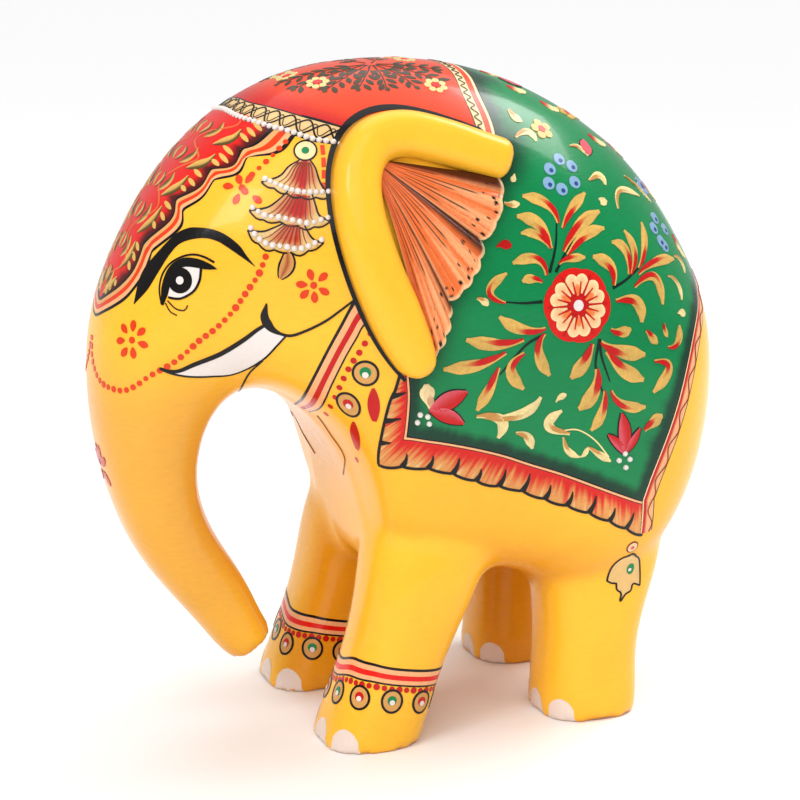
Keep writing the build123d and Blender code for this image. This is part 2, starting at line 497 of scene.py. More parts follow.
def bamboo_material():
    """pale split bamboo with long fibres"""
    m, shader = new_material("bamboo")
    link = m.node_tree.links.new
    place = add_node(m, "TexCoord", {})
    stretch = add_node(m, "Mapping", {"Scale": (900, 60, 900)})
    fibres = add_node(m, "TexNoise", {"Scale": 1, "Detail": 5})
    ramp = add_ramp(m, ((0.35, srgb(168, 124, 70)), (0.65, srgb(222, 190, 132))))
    link(place.outputs["Object"], stretch.inputs["Vector"])
    link(stretch.outputs["Vector"], fibres.inputs["Vector"])
    link(fibres.outputs["Fac"], ramp.inputs["Fac"])
    link(ramp.outputs["Color"], shader.inputs["Base Color"])
    shader.inputs["Roughness"].default_value = 0.6
    return m


# ---------------------------------------------------------------- body


def body_colours(points, normals):
    """yellow, with painted shade: a duller yellow on the trunk and a deeper amber on the inner faces of the
    legs and under the belly
    """
    x, y, z = points.T
    # painted shade: the trunk below the head turns a duller yellow
    trunk = ease(-30, -52, x) * ease(96, 74, z)
    # painted shade: leg faces that turn towards the middle, and faces that look down, get a deeper amber
    inward = -normals[:, 1] * np.sign(y) * ease(3, 9, np.abs(y))
    inner = np.maximum(ease(0.05, 0.7, inward), ease(0.1, 0.8, -normals[:, 2])) * ease(80, 62, z)
    inner *= 1 - ease(-40, -48, x)
    colours = mixed(YELLOW, SHADED_YELLOW, 0.85 * trunk)
    # deep amber of the painted shade
    deep = mixed(AMBER, YELLOW, 0.1)
    return colours * (1 - 0.8 * inner[:, None]) + deep * 0.8 * inner[:, None]


skin = Skin(*carved_body_mesh())
body = new_piece(
    "body_painted_yellow",
    skin.points,
    skin.quads.tolist(),
    lacquer("body_paint", variation=0.1, streak=(60, 60, 220), roughness=0.27),
    body_colours(skin.points, skin.normals),
)
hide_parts("carved_body")


LINE_STEP = 0.7  # spacing of the points on the longer lines


def meeting(*points):
    """smooth line through points of the side view, laid on the left flank, and points in space, which stay"""
    return curve([on_flank(*point) if len(point) == 2 else point for point in points], LINE_STEP)


HEART = np.array([12.0, 0, 84])  # point inside the body that the back's cloth is spread round
FAR = 200  # a distance from the heart that is well outside the body


def radial(rough):
    """places where lines from the heart through rough points leave the body"""
    out = []
    for point in np.asarray(rough, float).reshape(-1, 3):
        direction = (point - HEART) / np.linalg.norm(point - HEART)
        start = HEART + FAR * direction
        out.append(skin.tree.ray_cast(start.tolist(), (-direction).tolist())[0][:])
    return np.array(out).reshape(np.shape(rough))


def cloth(front, rear, low, high, step):
    """grid over the back between four lines: front and rear run upwards, low and high run backwards"""
    rows = max(len(resampled(front, step)), len(resampled(rear, step)))
    columns = max(len(resampled(low, step)), len(resampled(high, step)))
    sides = [resampled(front, count=rows), resampled(rear, count=rows)]
    ends = [resampled(low, count=columns), resampled(high, count=columns)]
    sides, ends = [[line - HEART for line in pair] for pair in (sides, ends)]
    unit = [[line / np.linalg.norm(line, axis=1)[:, None] for line in pair] for pair in (sides, ends)]
    (front, rear), (low, high) = unit
    u = np.linspace(0, 1, columns)[None, :, None]
    v = np.linspace(0, 1, rows)[:, None, None]
    ruled = front[:, None] * (1 - u) + rear[:, None] * u + low[None] * (1 - v) + high[None] * v
    corners = (front[0] * (1 - u) + rear[0] * u) * (1 - v) + (front[-1] * (1 - u) + rear[-1] * u) * v
    return radial(HEART + 50 * (ruled - corners)), u[0, :, 0], v[:, 0, 0]


def shifted(line, distance):
    """line moved sideways on the surface, to its right-hand side"""
    places, normals = skin.snap(line)
    sideways = np.cross(normals, np.gradient(places, axis=0))
    sideways /= np.linalg.norm(sideways, axis=1)[:, None]
    return skin.nearest(places - sideways * distance)


def striped(coat, one, other, stripes):
    """band between two lines in stripes: (share of the width where the stripe ends, colour)"""
    count = max(len(one), len(other))
    one, other = resampled(one, count=count), resampled(other, count=count)
    start = 0.0
    for end, colour in stripes:
        a, b = one * (1 - start) + other * start, one * (1 - end) + other * end
        coat.between(a, b, colour, rows=3)
        start = end


def wave(one, other, turns, low=0.2, high=0.8, phase=0.0):
    """wavy line that swings between two lines"""
    count = int(turns * 16)
    one, other = resampled(one, count=count), resampled(other, count=count)
    angle = np.linspace(0, 2 * math.pi * turns, count) + phase
    share = ((low + high) / 2 + (high - low) / 2 * np.sin(angle))[:, None]
    return one * (1 - share) + other * share


def uneven(count, spread):
    """random numbers round zero that change softly from one to the next"""
    raw = rng.normal(0, spread, count + 4)
    return np.convolve(raw, np.ones(3) / 3, "same")[2:-2]


def hanging(left, right, low, power):
    """grid between two sides that hang down and a low line, which the rows take up more and more"""
    u = np.linspace(0, 1, len(low))[None, :, None]
    v = np.linspace(0, 1, len(left))[:, None, None]
    sagging = low[None] - (left[-1] * (1 - u) + right[-1] * u)
    return left[:, None] * (1 - u) + right[:, None] * u + sagging * v**power


# ---------------------------------------------------------------- blanket

CLOTH_FRONT = meeting(
    (-12.5, 73.6), (-12.3, 82), (-12.5, 94), (-7, 110), (3, 124), (9.5, 131), (11.4, 136), (11.2, -20, 143),
    (12, -12, 147), (12, 0, 150),
)
CLOTH_REAR = meeting(
    (42.6, -39.3, 54.2), (44.7, -40, 61), (49.9, -39.7, 73.4), (54, -37.2, 83.7), (57.4, -33.6, 90.5),
    (61.3, -27.9, 96), (64.2, -20, 101.5), (66.5, -10, 105), (67.3, 0, 106),
)
CLOTH_LOW = meeting(
    (-12.5, 73.6), (-3, 71.6), (7.4, 68.7), (15.4, 65.6), (23.1, 62.7), (31.1, 59.2), (42.6, 54.2),
)
FRINGE_FRONT = meeting(
    (-14.5, -38.6, 88), (-15.6, -38.4, 84), (-16.7, -37.4, 80.6), (-17.4, -34.2, 72.1), (-17.3, -32.6, 68.8),
    (-16.9, -31.5, 65.9),
)
FRINGE_LOW = meeting(
    (-16.9, -31.5, 65.9), (-12.2, 66.2), (-5.3, 65.2), (5.2, 61.4), (12.2, 59.5), (19.3, 56.6), (27.7, 53.4),
    (35.3, 49.8), (44.2, 45),
)
FRONT_STRIPES = [(0.06, BLACK), (0.5, CREAM), (0.8, ORANGE_RED), (0.94, CREAM), (1, BLACK)]
REAR_STRIPES = [
    (0.06, BLACK), (0.14, CREAM), (0.36, RED), (0.46, mixed(RED, PEACH, 0.5)), (0.93, PEACH), (1, BLACK),
]
RIM_STRIPES = [(0.35, BLACK), (0.8, PEACH), (1, MAROON)]  # between the green and the fringe
FRONT_WIDTH = 4.6  # width of the stripes towards the cap
BORDER_WIDTH = 3.5  # width of the stripes on the rump
CLOTH_STEP = 0.95  # size of the squares that the large cloths are made of
CLOTH_LENGTH = (58, 50)  # from the front edge to the rump, at the low edge and at the ridge
CLOTH_HEIGHT = 110  # from the low edge to the ridge, along the body


def blanket():
    """green cloth over the back with its dark edge, a painted shadow of the ear, stripes and fringe"""
    high = radial(meeting((12, 0, 150), (40, 0, 145), (58, 0, 125), (67.3, 0, 106)))
    grid, u, v = cloth(CLOTH_FRONT, CLOTH_REAR, CLOTH_LOW, high, CLOTH_STEP)
    rows, columns = grid.shape[:2]
    width = CLOTH_LENGTH[0] - (CLOTH_LENGTH[0] - CLOTH_LENGTH[1]) * v[:, None]
    edge = np.minimum(u[None] * width, (1 - u[None]) * width)
    edge = np.minimum(edge, v[:, None] * CLOTH_HEIGHT)
    ragged = edge + uneven(rows, 0.8)[:, None] + uneven(columns, 0.8)[None]
    dark = 0.92 * ease(4.6, 0.7, ragged)
    # painted shadow of the ear: the green darkens along the front edge, beside the ear
    ear_shadow = ease(9, 2, u[None] * width) * ease(0.1, 0.2, v)[:, None] * ease(0.78, 0.66, v)[:, None]
    colours = mixed(GREEN, DEEP_GREEN, np.maximum(dark, ear_shadow))
    coat = Coat(BASE)
    coat.patch(grid, colours)
    coat.pieces("blanket_green", 0.16, (60, 60, 220), 0.22)

    border = Coat(BASE)
    crown = CLOTH_FRONT[CLOTH_FRONT[:, 2] > 121]
    crown_edge = shifted(crown, -FRONT_WIDTH)
    striped(border, crown_edge, crown, FRONT_STRIPES)
    side = CLOTH_FRONT[CLOTH_FRONT[:, 2] < 88][::-1]
    corner = skin.nearest([(-13.4, -37, 72.6)])
    side_rim = np.concatenate([shifted(side, 0.9)[:-1], corner])
    striped(border, side, side_rim, RIM_STRIPES)
    rear_rim = np.concatenate([meeting((43.6, -36.6, 45.4), tuple(CLOTH_REAR[0]))[:-1], CLOTH_REAR])
    rear_edge = shifted(rear_rim, BORDER_WIDTH)
    striped(border, rear_rim, rear_edge, REAR_STRIPES)
    rim = np.concatenate([corner, shifted(CLOTH_LOW, 1.0)[1:-1], skin.nearest([(42.9, -39.2, 53.1)])])
    striped(border, CLOTH_LOW, rim, RIM_STRIPES)
    fringe(border, side_rim, fringe_edge(FRINGE_FRONT)[0])
    fringe(border, rim, fringe_edge(FRINGE_LOW)[0])
    border.pieces("blanket_border", 0.2, (90, 90, 400))

    marks = Coat(UPPER)
    marks.stroke(wave(rear_rim, rear_edge, 11, 0.5, 0.9), 0.2, RUST)
    marks.stroke(wave(crown_edge, crown, 20, 0.14, 0.4), 0.24, OLIVE)
    fringe_marks(marks, FRINGE_LOW, (1.0, 3.2))
    fringe_marks(marks, FRINGE_FRONT, (3.2, 0.9))
    marks.pieces("blanket_border_lines")


TOOTH = 5.6  # length of one tooth of the fringe


def fringe_edge(line):
    """scalloped outer edge of the fringe, and the places between the teeth"""
    line = resampled(line, 0.25)
    length = np.linalg.norm(np.diff(line, axis=0), axis=1).sum()
    teeth = int(round(length / TOOTH))
    swing = np.abs(np.sin(np.linspace(0, math.pi * teeth, len(line))))
    lower = line + np.array([-0.3, 0, -0.9]) * (swing**0.6 * 0.6 - 0.35)[:, None]
    notches = [int(round(k * (len(line) - 1) / teeth)) for k in range(1, teeth)]
    return skin.nearest(lower), notches


def fringe(coat, rim, lower):
    """threads that fade from red to tan"""
    count = len(lower)
    upper = resampled(rim, count=count)
    share = np.linspace(0, 1, 9)[:, None]
    thread = uneven(count, 0.42)[None]
    fade = ease(0.12, 0.75, share + thread * (0.25 + share))
    colours = mixed(BRIGHT_RED * 0.85, mixed(TAN, ORANGE, 0.25), fade)
    pale = ease(0.5, 1, share) * ease(0.1, 0.5, uneven(count, 0.5)[None])
    colours = mixed(colours, PALE_GOLD, 0.6 * pale)
    coat.patch(upper[None] * (1 - share[..., None]) + lower[None] * share[..., None], colours)


def fringe_marks(coat, line, slant):
    """black outline of the fringe and the tooth marks, which go in by the given (x, z)"""
    lower, notches = fringe_edge(line)
    coat.stroke(lower, 0.6, BLACK)
    for k in notches:
        foot = lower[k]
        top = foot + np.array([slant[0], 0, slant[1]]) * rng.uniform(0.8, 1.3)
        tooth = laid([foot, foot + 0.5 * (top - foot) + [0.3, 0, 0], top], 8)
        coat.stroke(tooth, np.linspace(1.35, 0.2, 8), BLACK)


# ---------------------------------------------------------------- leaves and flowers of the blanket


def bow(root, middle, tip):
    """smooth arc in the side view through three points, laid on the flank"""
    root, middle, tip = [np.array(p, float) for p in (root, middle, tip)]
    pull = 2 * middle - (root + tip) / 2
    t = np.linspace(0, 1, 40)[:, None]
    return resampled(flank(root * (1 - t) ** 2 + 2 * pull * t * (1 - t) + tip * t**2), 0.55)


def leaf(coat, root, middle, tip, width, colours=(RED, GOLD), both=True):
    """brush leaf that widens towards its blunt tip, with a darker stroke laid on one side of it"""
    line = bow(root, middle, tip)
    t = np.linspace(0, 1, len(line))
    shape = 1.35 * width * (0.14 + 0.86 * ease(0, 0.62, t)) * (1 - 0.72 * ease(0.72, 1.02, t))
    grain = 0.16 * rng.normal(0, 1, (len(line), 7)) + 0.3 * np.linspace(-1, 1, 7)[None] * rng.choice([-1, 1])
    coat.stroke(line, shape, mixed(colours[1], colours[1] * 0.72, 0.35 + grain), columns=7)
    if both and len(line) > 6:
        part = line[: int(len(line) * rng.uniform(0.66, 0.8))]
        t = np.linspace(0, 1, len(part))
        thin = 0.62 * width * (0.3 + 0.7 * ease(0, 0.4, t)) * (1 - 0.85 * ease(0.55, 1.0, t))
        shade = mixed(colours[0], colours[1], 0.75 * ease(0.6, 1.0, t))
        coat.stroke(part, thin, shade, lift=coat.lift + 0.07, shift=0.2 * width * rng.choice([-1, 1]))


# every leaf: its root, a point half way, its tip and its width
LEAVES = (
    ((22, 117), (20, 121), (14.5, 123), 1.9),
    ((20, 112), (17.5, 117), (12.5, 119), 2.1),
    ((19.5, 112), (16.5, 115), (13, 115.5), 1.4),
    ((18, 106.5), (16, 110), (10.5, 109.5), 1.7),
    ((17, 105), (14.5, 106), (12.5, 105.5), 1.5),
    ((23, 116), (25.5, 119), (30.5, 122.5), 1.7),
    ((23, 111), (27.5, 116), (33.5, 118.5), 2.1),
    ((23.5, 110.5), (28.5, 114), (34, 115), 1.9),
    ((21.5, 108.5), (24, 109.5), (28, 109.5), 1.4),
    ((35, 103), (34.5, 107), (30, 109.5), 2.1),
    ((39, 105), (39, 110), (35.5, 112), 1.7),
    ((39.5, 105), (41.5, 109.5), (39.5, 114), 1.5),
    ((42, 106), (45, 110.5), (45.5, 115), 1.5),
    ((42, 104.5), (48, 106.5), (54.5, 106), 1.8),
    ((40.5, 102), (46.5, 103.5), (48, 97.5), 1.8),
    ((35, 100), (40.5, 99), (41.5, 94.5), 2.1),
    ((31, 91.5), (35.5, 89), (42, 87.5), 2.4),
    ((32, 89), (36, 85), (41.5, 82), 2.4),
    ((29, 91), (27, 87.5), (23.5, 84), 2.4),
    ((29.5, 85.5), (29, 80.5), (25.5, 77), 2.5),
    ((31.5, 80.5), (31, 75.5), (28.5, 72), 1.8),
    ((33.5, 80.5), (36.5, 77), (42, 76), 1.8),
    ((17.5, 95.5), (12, 95.5), (7, 98.5), 1.9),
    ((12.5, 93), (7, 92.5), (-0.5, 94), 2.1),
    ((8.5, 90.5), (2.5, 88.5), (-5.5, 88), 2.1),
    ((7, 87.5), (5, 83.5), (2, 78.5), 1.9),
    ((12.5, 90.5), (9.5, 87), (12.5, 82.5), 1.9),
    ((17.5, 94), (16, 90), (18.5, 85), 1.9),
    ((8.5, 101.5), (5, 104), (9, 107.5), 1.5),
    ((44.5, 86), (48.5, 84), (44, 79), 1.9),
    ((42.5, 92.5), (44, 91), (45.5, 89.5), 1.5),
    ((48, 93.5), (48, 92), (48.5, 90.5), 1),
    ((48.5, 88.5), (51.5, 89), (52.5, 92.5), 1.5),
    ((33.5, 94), (36, 93), (38.5, 93.5), 1.8),
    ((42, 70.5), (44.5, 72.5), (46.5, 73.5), 2.1),
)
GOLD_CURLS = (
    ((4, 77), (12, 77), (16.5, 80.5), 1.7),
    ((2, 77), (7.5, 76), (7, 72), 1.8),
    ((11, 73), (13.5, 72), (15, 69), 1.5),
    ((23.5, 71.5), (18.5, 74), (21.5, 77), 1.7),
    ((22, 71), (23.2, 68), (26, 66.2), 1.1),
    ((26, 66.2), (27.2, 66.7), (27.9, 68.2), 0.9),
    ((27.8, 68.2), (30.4, 66.6), (33.6, 64.5), 1.2),
    ((20, 79), (21, 80), (22.5, 80.5), 1.1),
    ((16, 134.5), (19.5, 135.5), (21, 133.5), 1.4),
    ((16.5, 140), (17.5, 138.5), (19, 137.5), 1.7),
    ((30, 132), (32.5, 131.5), (34.5, 129.5), 1),
    ((32.5, 125), (36, 125.5), (37, 123.5), 1.4),
    ((39, 118.5), (41, 122), (47.5, 120), 1.2),
    ((44.5, 124.5), (48, 122), (52, 118), 1),
    ((34, 121), (35, 120.5), (35.5, 119.5), 1.7),
    ((2, 102.5), (3.5, 102), (4.5, 101), 1.2),
    ((10, 122), (11.5, 121.5), (13.5, 121.5), 1.2),
    ((13.5, 127.5), (13, 126.5), (12.5, 126), 1),
    ((55, 106.5), (57.5, 105), (58, 102.5), 1),
    ((51, 103), (54, 101), (54.5, 97.5), 1),
    ((52.5, 95), (53.5, 95), (55, 94.5), 1.4),
)
STEMS = (
    ((19, 107), (21, 112.5), (22, 118)),
    ((20.5, 107), (23, 110.5), (25.5, 113.5)),
    ((34.5, 102.5), (38.5, 104), (44, 107)),
    ((30.5, 92), (31, 88), (33, 82.5)),
    ((30.5, 92), (29.5, 86), (31.5, 79.5)),
    ((17.5, 94), (13, 92), (7, 86)),
    ((17, 101), (12.5, 101), (8.5, 101.5)),
)
RIDGE_LEAVES = (
    ((22, -14, 149), (25, -15, 148), (27, -13, 147.8), 1.6),
    ((30, -16, 145.5), (33, -17, 144), (35, -15, 143.5), 1.5),
    ((40, -8, 144), (43, -9, 142.5), (45, -7, 141.5), 1.5),
    ((41, -20, 138), (44, -20, 136), (46, -18, 134.5), 1.5),
    ((50, -12, 135), (52.5, -13, 132.5), (54, -11, 130.5), 1.5),
    ((56, -17, 125), (57.5, -18, 122), (58.5, -16, 119), 1.5),
    ((60, -7, 122), (61.5, -8, 119), (62.5, -6, 116.5), 1.5),
    ((18, -5, 150), (21, -6, 149.5), (24, -4, 149.3), 1.5),
    ((60, -23, 112), (60.5, -24, 108), (60.8, -22, 105), 1.4),
)
LOTUS_DOTS = (
    ((-10.3, 78.3), (-10.8, 76.6), (-8.7, 77.8), (-8.3, 76.2)),
    ((35.7, 64.5), (37.1, 65.9), (38.4, 64.5), (37.5, 62.7)),
)
BLUE_PETALS = (
    (22.6, 127.9), (25.7, 129.6), (28.7, 128), (28.4, 124.8), (24.6, 123.7), (21.5, 125.1),
    (51, 115), (54.1, 112.2), (49.5, 113.2), (51, 110.3), (52.1, 109.1),
)
PINK_BUDS = (
    ((35.5, -26, 130.8), (36.5, -23, 135)),
    ((22, -8, 149.6), (28, -9, 148.2)),
    ((50, -5, 137), (55, -6, 132)),
)


def flower_head(coat, place, radius, petals, petal_colour, heart_colour):
    """round petals about a middle dot"""
    stamp = Stamp(place)
    for k in range(petals):
        angle = 2 * math.pi * k / petals + 0.3
        centre = (radius * 0.68 * math.cos(angle), radius * 0.68 * math.sin(angle))
        size = radius * min(0.4, 1.95 / petals)
        coat.disc(stamp, centre, (size * 0.6, size), [petal_colour * 0.8, petal_colour, petal_colour])
    coat.disc(stamp, (0, 0), (radius * 0.2, radius * 0.34), heart_colour, lift=coat.lift + 0.08)


def lotus(coat, outline, root, tips, dots):
    """pointed red petals with black outlines on one root, and white dots below"""
    for tip, width in tips:
        line = meeting(root, ((root[0] + tip[0]) / 2 + 0.3, (root[1] + tip[1]) / 2 + 0.2), tip)
        t = np.linspace(0, 1, len(line))
        shape = np.sin(math.pi * np.clip(t, 0.03, 0.97)) ** 0.75
        outline.stroke(line, width * shape + 0.55, BLACK, columns=5)
        side = np.linspace(-1, 1, 5)[None]
        shade = mixed(RED, PINK, ease(0.1, 0.9, 0.5 + 0.5 * side - 0.3 * t[:, None]))
        coat.stroke(line, width * shape, shade, columns=5)
    for dot in dots:
        coat.bead(on_flank(*dot), 0.62)


def big_flower():
    """round flower in the blanket's middle: six pale petals in a red scalloped ring"""
    stamp = Stamp(on_flank(25.4, 99.6))
    ground, petals = Coat(UPPER), Coat(TOP)
    angles = np.linspace(0, 2 * math.pi, 73)
    scallop = 1 - 0.07 * (1 - np.abs(np.cos(3 * angles + 0.5)) ** 0.5)
    outline = scallop[:, None] * np.stack([np.cos(angles), np.sin(angles)], 1)
    rings = [radius * outline for radius in (PIN, 4, 8.2)]
    ground.patch(stamp.at(np.concatenate(rings)).reshape(3, len(angles), 3), BRIGHT_RED * 0.9)
    for k in range(6):
        middle = math.radians(60 * k + 90)
        for side in (-1, 1):
            turn = middle + side * 0.235
            centre = (4.75 * math.cos(turn), 4.75 * math.sin(turn))
            colours = [PEACH, mixed(PEACH, CREAM, 0.5), CREAM]
            petals.disc(stamp, centre, (1.2, 2.15), colours, 0.78, turn)
        root = (3.3 * math.cos(middle), 3.3 * math.sin(middle))
        petals.disc(stamp, root, (0.8, 1.4), [ORANGE, ORANGE, PEACH], 0.6, middle, lift=TOP + 0.05)
    petals.pieces("blanket_flower_petals", 0.2)
    heart = Coat(TOP + 0.1)
    for k in range(6):
        for side, length in ((-0.2, 5.2), (0.2, 5.2), (0.52, 7.2)):
            turn = math.radians(60 * k + 90) + side
            steps = np.linspace(1.2, length, 9)
            line = stamp.at(np.stack([steps * np.cos(turn), steps * np.sin(turn)], 1))
            heart.stroke(line, np.linspace(0.6, 0.2, 9), RED)
    heart.disc(stamp, (0, 0), (1.2, 2.1), RED)
    heart.disc(stamp, (0, 0), (0.7, 1.2), WHITE, lift=TOP + 0.18)
    heart.pieces("blanket_flower_heart")
    ground.pieces("blanket_flower_ring", 0.2)


def blanket_flowers():
    """everything that grows on the green"""
    stems, leaves, blooms = Coat(MIDDLE), Coat(UPPER), Coat(TOP)
    for stem in STEMS:
        line = meeting(*stem)
        stems.stroke(line, np.linspace(0.7, 0.3, len(line)), DEEP_GREEN * 0.7)
    leaves.stroke(meeting((21.4, 72.5), (25.4, 72.4), (29.5, 69.8), (33.1, 65.6)), 0.3, PALE_GOLD)
    for root, middle, tip, width in LEAVES:
        leaf(leaves, root, middle, tip, width)
    for root, middle, tip, width in GOLD_CURLS:
        leaf(leaves, root, middle, tip, width, (mixed(RUST, GOLD, 0.55), PALE_GOLD))
    for root, middle, tip, width in RIDGE_LEAVES:
        t = np.linspace(0, 1, 12)
        shape = 1.6 * width * np.sin(math.pi * (0.08 + 0.8 * t))
        leaves.stroke(laid([root, middle, tip], 12), shape, mixed(RED, PALE_GOLD, ease(0.2, 0.5, t)))
    leaf(leaves, (7, 113), (8.5, 113.5), (10.5, 113), 1.5, (RED, RED), both=False)
    leaf(leaves, (-8.4, 79.6), (-8.9, 82.5), (-9.2, 85), 2.4, (mixed(RUST, CREAM, 0.4), CREAM))
    lotus(blooms, leaves, (-8.4, 79.2), (((-0.3, 82.8), 3.8), ((-0.8, 75.8), 3.0)), LOTUS_DOTS[0])
    rear_tips = (((32.7, 70.7), 1.9), ((40.7, 71.4), 1.8), ((36, 75.2), 3.0))
    lotus(blooms, leaves, (37, 65.8), rear_tips, LOTUS_DOTS[1])
    for place in BLUE_PETALS:
        spot = on_flank(*place)
        blooms.spot(spot, 1.45, BLUE, UPPER)
        blooms.spot(spot + np.array([0.2, 0, -0.4]), 0.5, DEEP_BLUE)
    flower_head(blooms, on_flank(23.6, 135.7), 2.6, 5, GOLD, RED)
    flower_head(blooms, (38, -14, 142.5), 2.4, 5, GOLD, RED)
    flower_head(blooms, (54, -22, 124.5), 2.4, 5, BLUE, DEEP_BLUE)
    for root, tip in PINK_BUDS:
        line = resampled(curve([root, (np.array(root) + tip) / 2 + [0, -0.3, 0.3], tip]), count=12)
        leaves.stroke(line, 0.6 + 3.4 * swell(0.04, 0.96, 12), BLACK, columns=5)
        blooms.stroke(line, 0.1 + 3.2 * swell(0.04, 0.96, 12), PINK, columns=5)
    stems.pieces("blanket_stems")
    leaves.pieces("blanket_leaves", 0.25, (200, 200, 200))
    blooms.pieces("blanket_blooms", 0.2)


# ---------------------------------------------------------------- cap, headband and forehead cloth

BAND_UPPER = meeting(
    (-37.3, 0, 142.6), (-36.7, -7.2, 142.1), (-33.3, -14.8, 141.4), (-29.6, -19.6, 140.2),
    (-25.8, -22.8, 139.1), (-22.2, -25.1, 138), (-18, -28, 136.4),
)
BAND_LOWER = meeting(
    (-41, 0, 139.4), (-40.7, -9.2, 139), (-37.1, -17.4, 137.8), (-33.2, -21.8, 136.8), (-29.1, -25.2, 135.3),
    (-24.6, -27.4, 134.6), (-20.5, -30, 132.8),
)
CAP_LENGTH = 40  # from the headband to the blanket
CAP_SPRAYS = (  # bearing in degrees and length of the sprays of leaves
    (176, 24), (156, 23), (134, 20), (110, 17), (86, 17), (62, 18), (38, 19), (14, 16), (-60, 7), (-120, 7),
)


def cap():
    """orange red cloth on the crown with dark sprays of leaves"""
    high = radial(meeting(tuple(BAND_UPPER[0]), (-25, 0, 147), (-8, 0, 150), (7.6, 0, 150)))
    rear = shifted(CLOTH_FRONT, -4.5)
    rear = rear[rear[:, 2] > 130.5]
    low = meeting(tuple(BAND_UPPER[-1]), (-13, 137), (-5, 136), (1, 134.3), tuple(rear[0]))
    grid, u, v = cloth(BAND_UPPER[::-1], rear, low, high, CLOTH_STEP)
    from_band = np.tile(u * CAP_LENGTH, (len(v), 1))
    colours = mixed(RED, ORANGE_RED, ease(0, 7, from_band))
    coat = Coat(BASE)
    coat.patch(grid, colours)
    coat.pieces("cap_orange", 0.14)

    marks, flowers = Coat(MIDDLE), Coat(UPPER)
    top = np.array([-10.0, -8.5, 149.5])
    for bearing, length in CAP_SPRAYS:
        angle = math.radians(bearing)
        way = np.array([math.cos(angle), -math.sin(angle), 0])
        steps = np.linspace(1.5, length, max(4, int(length / 0.8)))
        bend = np.array([way[1], -way[0], 0])
        line = skin.nearest(top + steps[:, None] * way + (steps**2)[:, None] * 0.006 * bend + [0, 0, 8])
        marks.stroke(line, np.linspace(0.4, 0.22, len(line)), OLIVE * 0.35)
        for k in range(5, len(line) - 1, 4):
            for side in (-1, 1):
                heading = way * 2.5 + side * bend * 1.9
                points = skin.nearest(line[k] + np.linspace(0.1, 1, 7)[:, None] * heading + side * bend * 0.3)
                marks.stroke(points, 0.15 + 1.15 * swell(0.03, 0.97, 7), OLIVE * 0.45)
        end = skin.nearest([line[-1] + way * 1.6])[0]
        marks.stroke(resampled(np.array([line[-1], end]), count=7), 1.2 * swell(0.1, 0.9, 7), OLIVE * 0.6)
    for place in ((-23.4, -11.9, 146.3), (1.5, -18, 145.8), (-27, -2, 146.5), (0, -3, 151)):
        flower_head(flowers, place, 2.7, 7, mixed(GOLD, PALE_GOLD, 0.6), BRIGHT_RED)
    marks.stroke(meeting((-29.6, -19.6, 140.2), tuple(BAND_UPPER[-1])), 0.3, BLACK)
    marks.pieces("cap_leaves")
    flowers.pieces("cap_flowers")


def headband():
    """tan band round the crown with loops drawn on it and a row of pearls"""
    ground, lines, pearls = Coat(BASE), Coat(MIDDLE), Coat(MIDDLE)
    striped(ground, BAND_UPPER, BAND_LOWER, [(0.07, BLACK), (0.86, mixed(TAN, CREAM, 0.45)), (1, BLACK)])
    for phase in (0, math.pi):
        lines.stroke(wave(BAND_UPPER, BAND_LOWER, 4.75, 0.12, 0.8, phase + 0.8), 0.4, BLACK)
    lines.stroke(wave(BAND_UPPER, BAND_LOWER, 9.5, 0.22, 0.7, 0.2), 0.22, OLIVE * 0.4)
    row = resampled(BAND_LOWER, count=int(len(BAND_LOWER) * 0.7 / 1.42))
    for place in shifted(row, -0.6)[:-3]:
        pearls.bead(place, 0.66)
    ground.pieces("headband", 0.15)
    lines.pieces("headband_loops")
    pearls.pieces("headband_pearls", 0.05)


FOREHEAD_OUTER = (
    (-31.8, -22.8, 136.6), (-36.2, -23.6, 133.6), (-41.9, -20.7, 132), (-44.6, -21.5, 129.1),
    (-48.6, -18.8, 127.3), (-51.5, -18.8, 123.9), (-54.8, -16.7, 121), (-56.6, -17.7, 117.3),
    (-61.2, -14.4, 112.2),
)
OUTER_END = (
    (-62.2, -14.9, 109.9), (-63.3, -14.9, 107.2), (-64.9, -13.9, 104.8), (-66.8, -12, 102),
    (-68.9, -8.3, 99.6), (-70.4, -2.6, 97.2), (-70.8, 0, 96.6),
)
FOREHEAD_INNER = (
    (-35.8, -18.8, 137.8), (-40.0, -19.2, 135.2), (-42.6, -18, 133.6), (-45.1, -19.1, 130.7),
    (-48.6, -15.9, 129.5), (-51.5, -16.2, 126.1), (-55.4, -12.7, 123.1), (-57.6, -13.9, 119.1),
    (-62, -10.3, 113.9),
)
INNER_END = (
    (-63.2, -11, 111.1), (-64.4, -11, 108.4), (-66.1, -9.5, 105.9), (-67.6, -6.8, 103.6),
    (-69.1, -2.3, 101.2), (-69.5, 0, 100.6),
)
SCALLOP = 18  # points on each of the border's arcs
FOREHEAD_STRIPES = [
    (0.14, BLACK), (0.36, mixed(TAN, PEACH, 0.4)), (0.62, ORANGE_RED), (0.84, PEACH), (1, BLACK),
]
# how far out each leaf leans, its steps ahead and back along the cloth, its width and its two colours
FOREHEAD_LEAVES = (
    (0.7, 9, 4, 2.5, (OLIVE, GOLD)),
    (0.36, 6, 4, 2.2, (GOLD, OLIVE)),
    (0.08, 4, 4, 1.8, (OLIVE, GOLD)),
)


def scalloped(points, last):
    """arcs that meet in sharp corners, with every second point the top of one, and a long last arc"""
    arcs = [np.array(points[:1])]
    for k in range(0, len(points) - 2, 2):
        start, top, end = [np.array(p) for p in points[k : k + 3]]
        top = top + 0.35 * (top - (start + end) / 2)
        arcs.append(resampled(curve([start, top, end]), count=SCALLOP + 1)[1:])
    arcs.append(resampled(curve([points[-1], *last]), count=2 * SCALLOP + 1)[1:])
    return np.concatenate(arcs)


